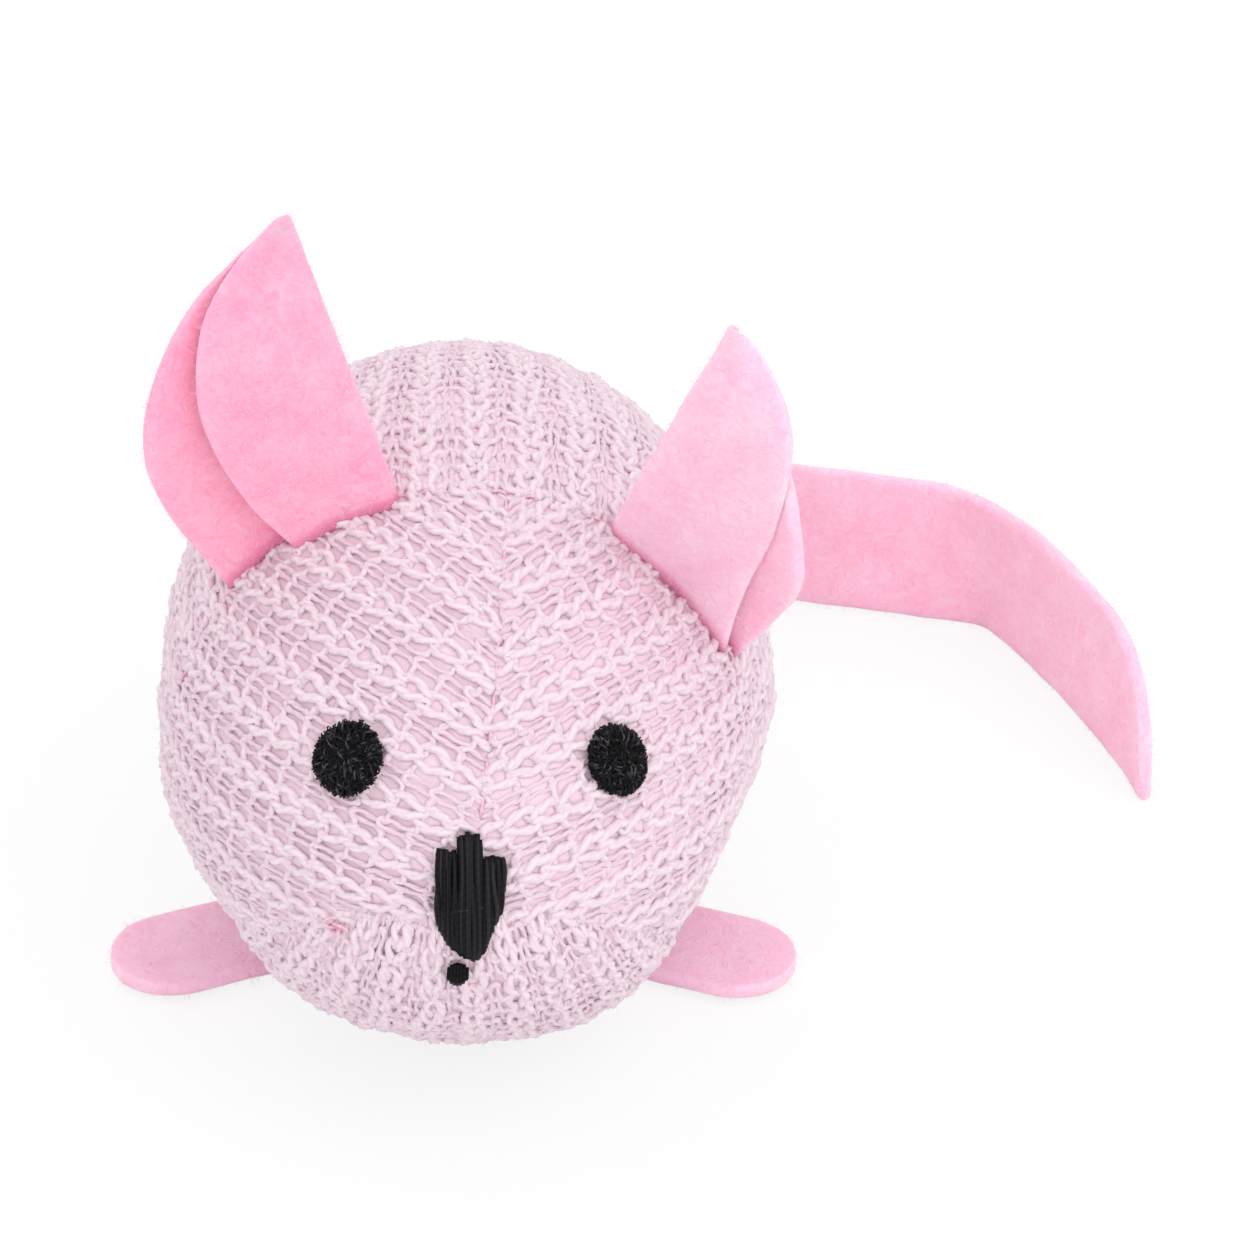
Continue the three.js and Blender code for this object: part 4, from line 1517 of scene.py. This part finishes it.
# %% [markdown]
# An eye is a disc of short stitches that run from its middle to its rim, in layers that stand higher
# in the middle. Each layer is its count of stitches, the shares of the radius where they start and
# end, and the heights of their ends and crowns in millimetres. Loose tufts over it fray the rim, and a
# few of them are painted grey as painted highlights.

# %% Eyes
eye_layers = [(90, 0.50, 0.97, 0.0, 0.3), (70, 0.25, 0.80, 0.1, 0.45), (40, 0.0, 0.55, 0.2, 0.6)]
turn_stray = 0.3
rim_stray = (0.93, 1.05)
tuft_count = 700
tuft_share = 0.45
tuft_lengths = (0.5, 1.3)
tuft_arches = (0.1, 0.35)
tuft_rim = (0.98, 1.08)
tuft_spread = 0.85
tuft_base = 0.15 * mm
tuft_dome = 0.5 * mm
tuft_swerve = 1.8
tuft_steps = 5
# A few tufts are painted grey, as painted highlights.
highlight_rarity = 7


def eye_ground(place, eye_radius, draw):
    """Stitches from the middle of an eye towards its rim, in layers."""
    for count, inner, outer, base, crown in eye_layers:
        for turn in (np.arange(count) + draw.uniform(-turn_stray, turn_stray, count)) * 2 * np.pi / count:
            ray = eye_radius * np.array([math.cos(turn), math.sin(turn)])
            rim = outer * draw.uniform(*rim_stray) * ray
            yield stitch(place, inner * ray, rim, base * mm, crown * mm)


def eye_tufts(place, eye_radius, draw):
    """Short loose stitches in all directions, which fray the rim."""
    for _ in range(tuft_count):
        turn = draw.uniform(0, 2 * np.pi)
        inward = math.sqrt(draw.uniform(0, tuft_spread))
        swerve = turn + draw.normal(0, tuft_swerve - inward)
        length = draw.uniform(*tuft_lengths) * mm
        start = eye_radius * inward * np.array([math.cos(turn), math.sin(turn)])
        end = start + length * np.array([math.cos(swerve), math.sin(swerve)])
        end *= min(1, eye_radius * draw.uniform(*tuft_rim) / np.hypot(*end))
        base = tuft_base + tuft_dome * (1 - inward**2)
        crown = base + draw.uniform(*tuft_arches) * mm
        highlight = draw.uniform(0, 1) ** highlight_rarity
        points, shares, lit = stitch(place, start, end, base, crown, tuft_steps, lit=highlight)
        yield points, tuft_share * shares, lit


def make_eye(node, eye_radius, seed):
    draw = np.random.default_rng(seed)
    place = on_patch(node)
    strands = [*eye_ground(place, eye_radius, draw), *eye_tufts(place, eye_radius, draw)]
    dress_as(strands_piece(node + "_stitches", strands, black_radius), node, black_thread)


make_eye("eye_left", 3.3 * mm, 21)
make_eye("eye_right", 3.5 * mm, 22)

# %% [markdown]
# The nose is a shield of upright satin stitches with three blunt prongs, in two layers, and two
# stray threads cross it. Some satin stitches and both stray threads are painted grey, as painted
# highlights. Its prongs and its lower edge are given in millimetres from its middle.

# %% Nose
nose_half = 3.05 * mm
nose_pitch = 0.26 * mm
nose_prongs = [(-3.1, -1.35, 4.75), (-1.1, 1.0, 6.1), (1.15, 3.2, 3.9)]
nose_bottoms = (
    [-3.1, -2.6, -1.5, -0.3, 0.6, 1.3, 1.9, 2.8, 3.2],
    [-2.6, -4.0, -5.4, -6.4, -6.4, -5.4, -3.6, -1.4, 1.5],
)
nose_notch = 2.6
prong_round = 0.5
nose_layers = [(0.0, 0.45 * mm), (0.5, 0.85 * mm)]
satin_base = 0.1 * mm
satin_share = 1.25
satin_steps = 14
satin_stray = 0.07 * mm
# Some satin stitches are painted grey, as painted highlights.
satin_highlight = 0.25
top_fray = 0.12 * mm
bottom_fray = 0.15 * mm
nose_strays = [((-1.6, -0.9), (1.5, -0.5), 0.95 * mm), ((0.2, 1.6), (1.2, -1.6), 0.9 * mm)]
stray_share = 0.3
stray_sway = 0.15 * mm
# The stray threads are painted grey, as painted highlights.
stray_highlight = 0.6
stray_steps = 9


def nose_top(x):
    """The height of the prong that a thread belongs to, rounded at its sides."""
    heights = []
    for low, high, top in nose_prongs:
        share = (2 * x - low - high) / (high - low)
        heights.append(top - prong_round * share**4 if abs(share) <= 1.05 else nose_notch)
    return max(heights)


def make_nose():
    draw = np.random.default_rng(23)
    place = on_patch("nose")
    strands = []
    for layer, crown in nose_layers:
        for x in np.arange(-nose_half, nose_half, nose_pitch) + layer * nose_pitch:
            top = nose_top(x / mm) * mm + draw.normal(0, top_fray)
            low = np.interp(x / mm, *nose_bottoms) * mm + draw.normal(0, bottom_fray)
            tilt, sway, rise = draw.normal(0, satin_stray, 3)
            lit = satin_highlight * draw.uniform(0, 1) ** 3
            ends = (x, low), (x + tilt, top)
            points, shares, lit = stitch(place, *ends, satin_base, crown + rise, satin_steps, sway, lit)
            strands.append((points, satin_share * shares, lit))
    for low, high, height in nose_strays:
        ends = np.array([low, high]) * mm
        points, shares, lit = stitch(place, *ends, height, height, stray_steps, stray_sway, stray_highlight)
        strands.append((points, stray_share * shares, lit))
    dress_as(strands_piece("nose_stitches", strands, black_radius), "nose", black_thread)


make_nose()

# %% [markdown]
# The mouth is a single dot under the nose: seven short stitches side by side, the middle ones longer
# and higher, which together make a small dome.

# %% Mouth
mouth_radius = 0.98 * mm
mouth_drop = 0.25 * mm
mouth_slant = 0.1 * mm
mouth_count = 7
mouth_spread = 0.85
mouth_below = 1.7
mouth_above = 1.2
mouth_crown = 0.3 * mm
mouth_dome = 0.5


def make_mouth():
    place = on_patch("mouth_stitch")
    strands = []
    for share in np.linspace(-mouth_spread, mouth_spread, mouth_count):
        half = mouth_radius * math.sqrt(1 - share**2)
        x = mouth_radius * share
        start = (x, -mouth_below * half - mouth_drop)
        end = (x + mouth_slant, mouth_above * half - mouth_drop)
        strands.append(stitch(place, start, end, 0, mouth_crown + mouth_dome * half))
    piece = strands_piece("mouth_stitches", strands, black_radius)
    dress_as(piece, "mouth_stitch", black_thread)


make_mouth()

# %% [markdown]
# Inside, two wads of white fibre close round a small cloth sachet of dried herb. They are never
# seen from outside, so they are plain: each wad and each half of the sachet is half of a hollow
# ball, cut by a plane and bridged along the cut, and the herb is a heap of crumbled flakes.

# %% Finishes of the filling
fibre_white = plain_finish("white_fibre", colour(226, 222, 214), colour(250, 248, 244), 600)
sachet_white = plain_finish("sachet_weave", colour(216, 208, 194), colour(240, 234, 222), 3000)
herb_green = plain_finish("dried_leaf", colour(96, 102, 54), colour(150, 152, 98), 900)
print("made", fibre_white.name, sachet_white.name, herb_green.name)

# %% Wads and sachet
wad_depth = 3.6 * mm
wad_lumps = 0.5 * mm
lump_scale = 3
wad_room = 1.01
sachet_cloth = 0.6 * mm


def half_ball(name, middle, outer, inner, rearward, unevenness):
    """Half of a hollow ball, cut square to the long axis."""
    ball = bmesh.new()
    for size in (outer, inner):
        made = bmesh.ops.create_icosphere(ball, subdivisions=4, radius=1)
        for vertex in made["verts"]:
            rough = 1 + unevenness * noise.noise(vertex.co * lump_scale) / max(outer)
            vertex.co = Vector(np.array(vertex.co) * size * rough + middle)
    whole = ball.verts[:] + ball.edges[:] + ball.faces[:]
    bmesh.ops.bisect_plane(
        ball, geom=whole, dist=weld_distance, plane_co=middle, plane_no=(0, 1, 0),
        clear_inner=rearward, clear_outer=not rearward,
    )
    rim = [edge for edge in ball.edges if edge.is_boundary]
    bmesh.ops.bridge_loops(ball, edges=rim)
    bmesh.ops.recalc_face_normals(ball, faces=ball.faces)
    return new_piece(name, mesh_of(name, ball))


sachet_low, _ = (np.array(corner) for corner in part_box("sachet_front"))
_, sachet_high = (np.array(corner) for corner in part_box("sachet_back"))
sachet_middle = (sachet_low + sachet_high) / 2
sachet_half = (sachet_high - sachet_low) / 2
wad_middle = np.array([0, sachet_middle[1], egg_middle[2]])
wad_half = egg_half - wad_depth - np.array([0, sachet_middle[1], 0])

for end, rearward in (("front", False), ("rear", True)):
    wad = half_ball(end + "_wad", wad_middle, wad_half, sachet_half * wad_room, rearward, wad_lumps)
    dress_as(wad, end + "_stuffing", fibre_white)
for end, rearward in (("front", False), ("back", True)):
    inside = sachet_half - sachet_cloth
    cup = half_ball("sachet_cloth_" + end, sachet_middle, sachet_half, inside, rearward, 0)
    dress_as(cup, "sachet_" + end, sachet_white)

# %% Dried herb
flake_count = 260
flake_sizes = (0.6, 1.3)
flake_thickness = 0.12 * mm
flake_fold = 0.4
flake_margin = 2.2 * mm


def herb_flakes():
    """Crumbled leaves: bent squares scattered through the sachet."""
    draw = np.random.default_rng(31)
    heap = bmesh.new()
    for _ in range(flake_count):
        spot = unit(draw.normal(0, 1, 3)) * draw.uniform(0, 1) ** (1 / 3)
        size = draw.uniform(*flake_sizes) * mm
        flake = bmesh.ops.create_grid(heap, x_segments=2, y_segments=1, size=size)
        tilt = Euler(draw.uniform(0, 2 * np.pi, 3)).to_matrix()
        place = Vector(sachet_middle + spot * (sachet_half - flake_margin))
        for vertex in flake["verts"]:
            vertex.co.z = abs(vertex.co.x) * flake_fold
            vertex.co = tilt @ vertex.co + place
    bmesh.ops.solidify(heap, geom=heap.faces[:], thickness=flake_thickness)
    return new_piece("herb_flakes", mesh_of("herb_flakes", heap))


dress_as(herb_flakes(), "dried_catnip", herb_green)
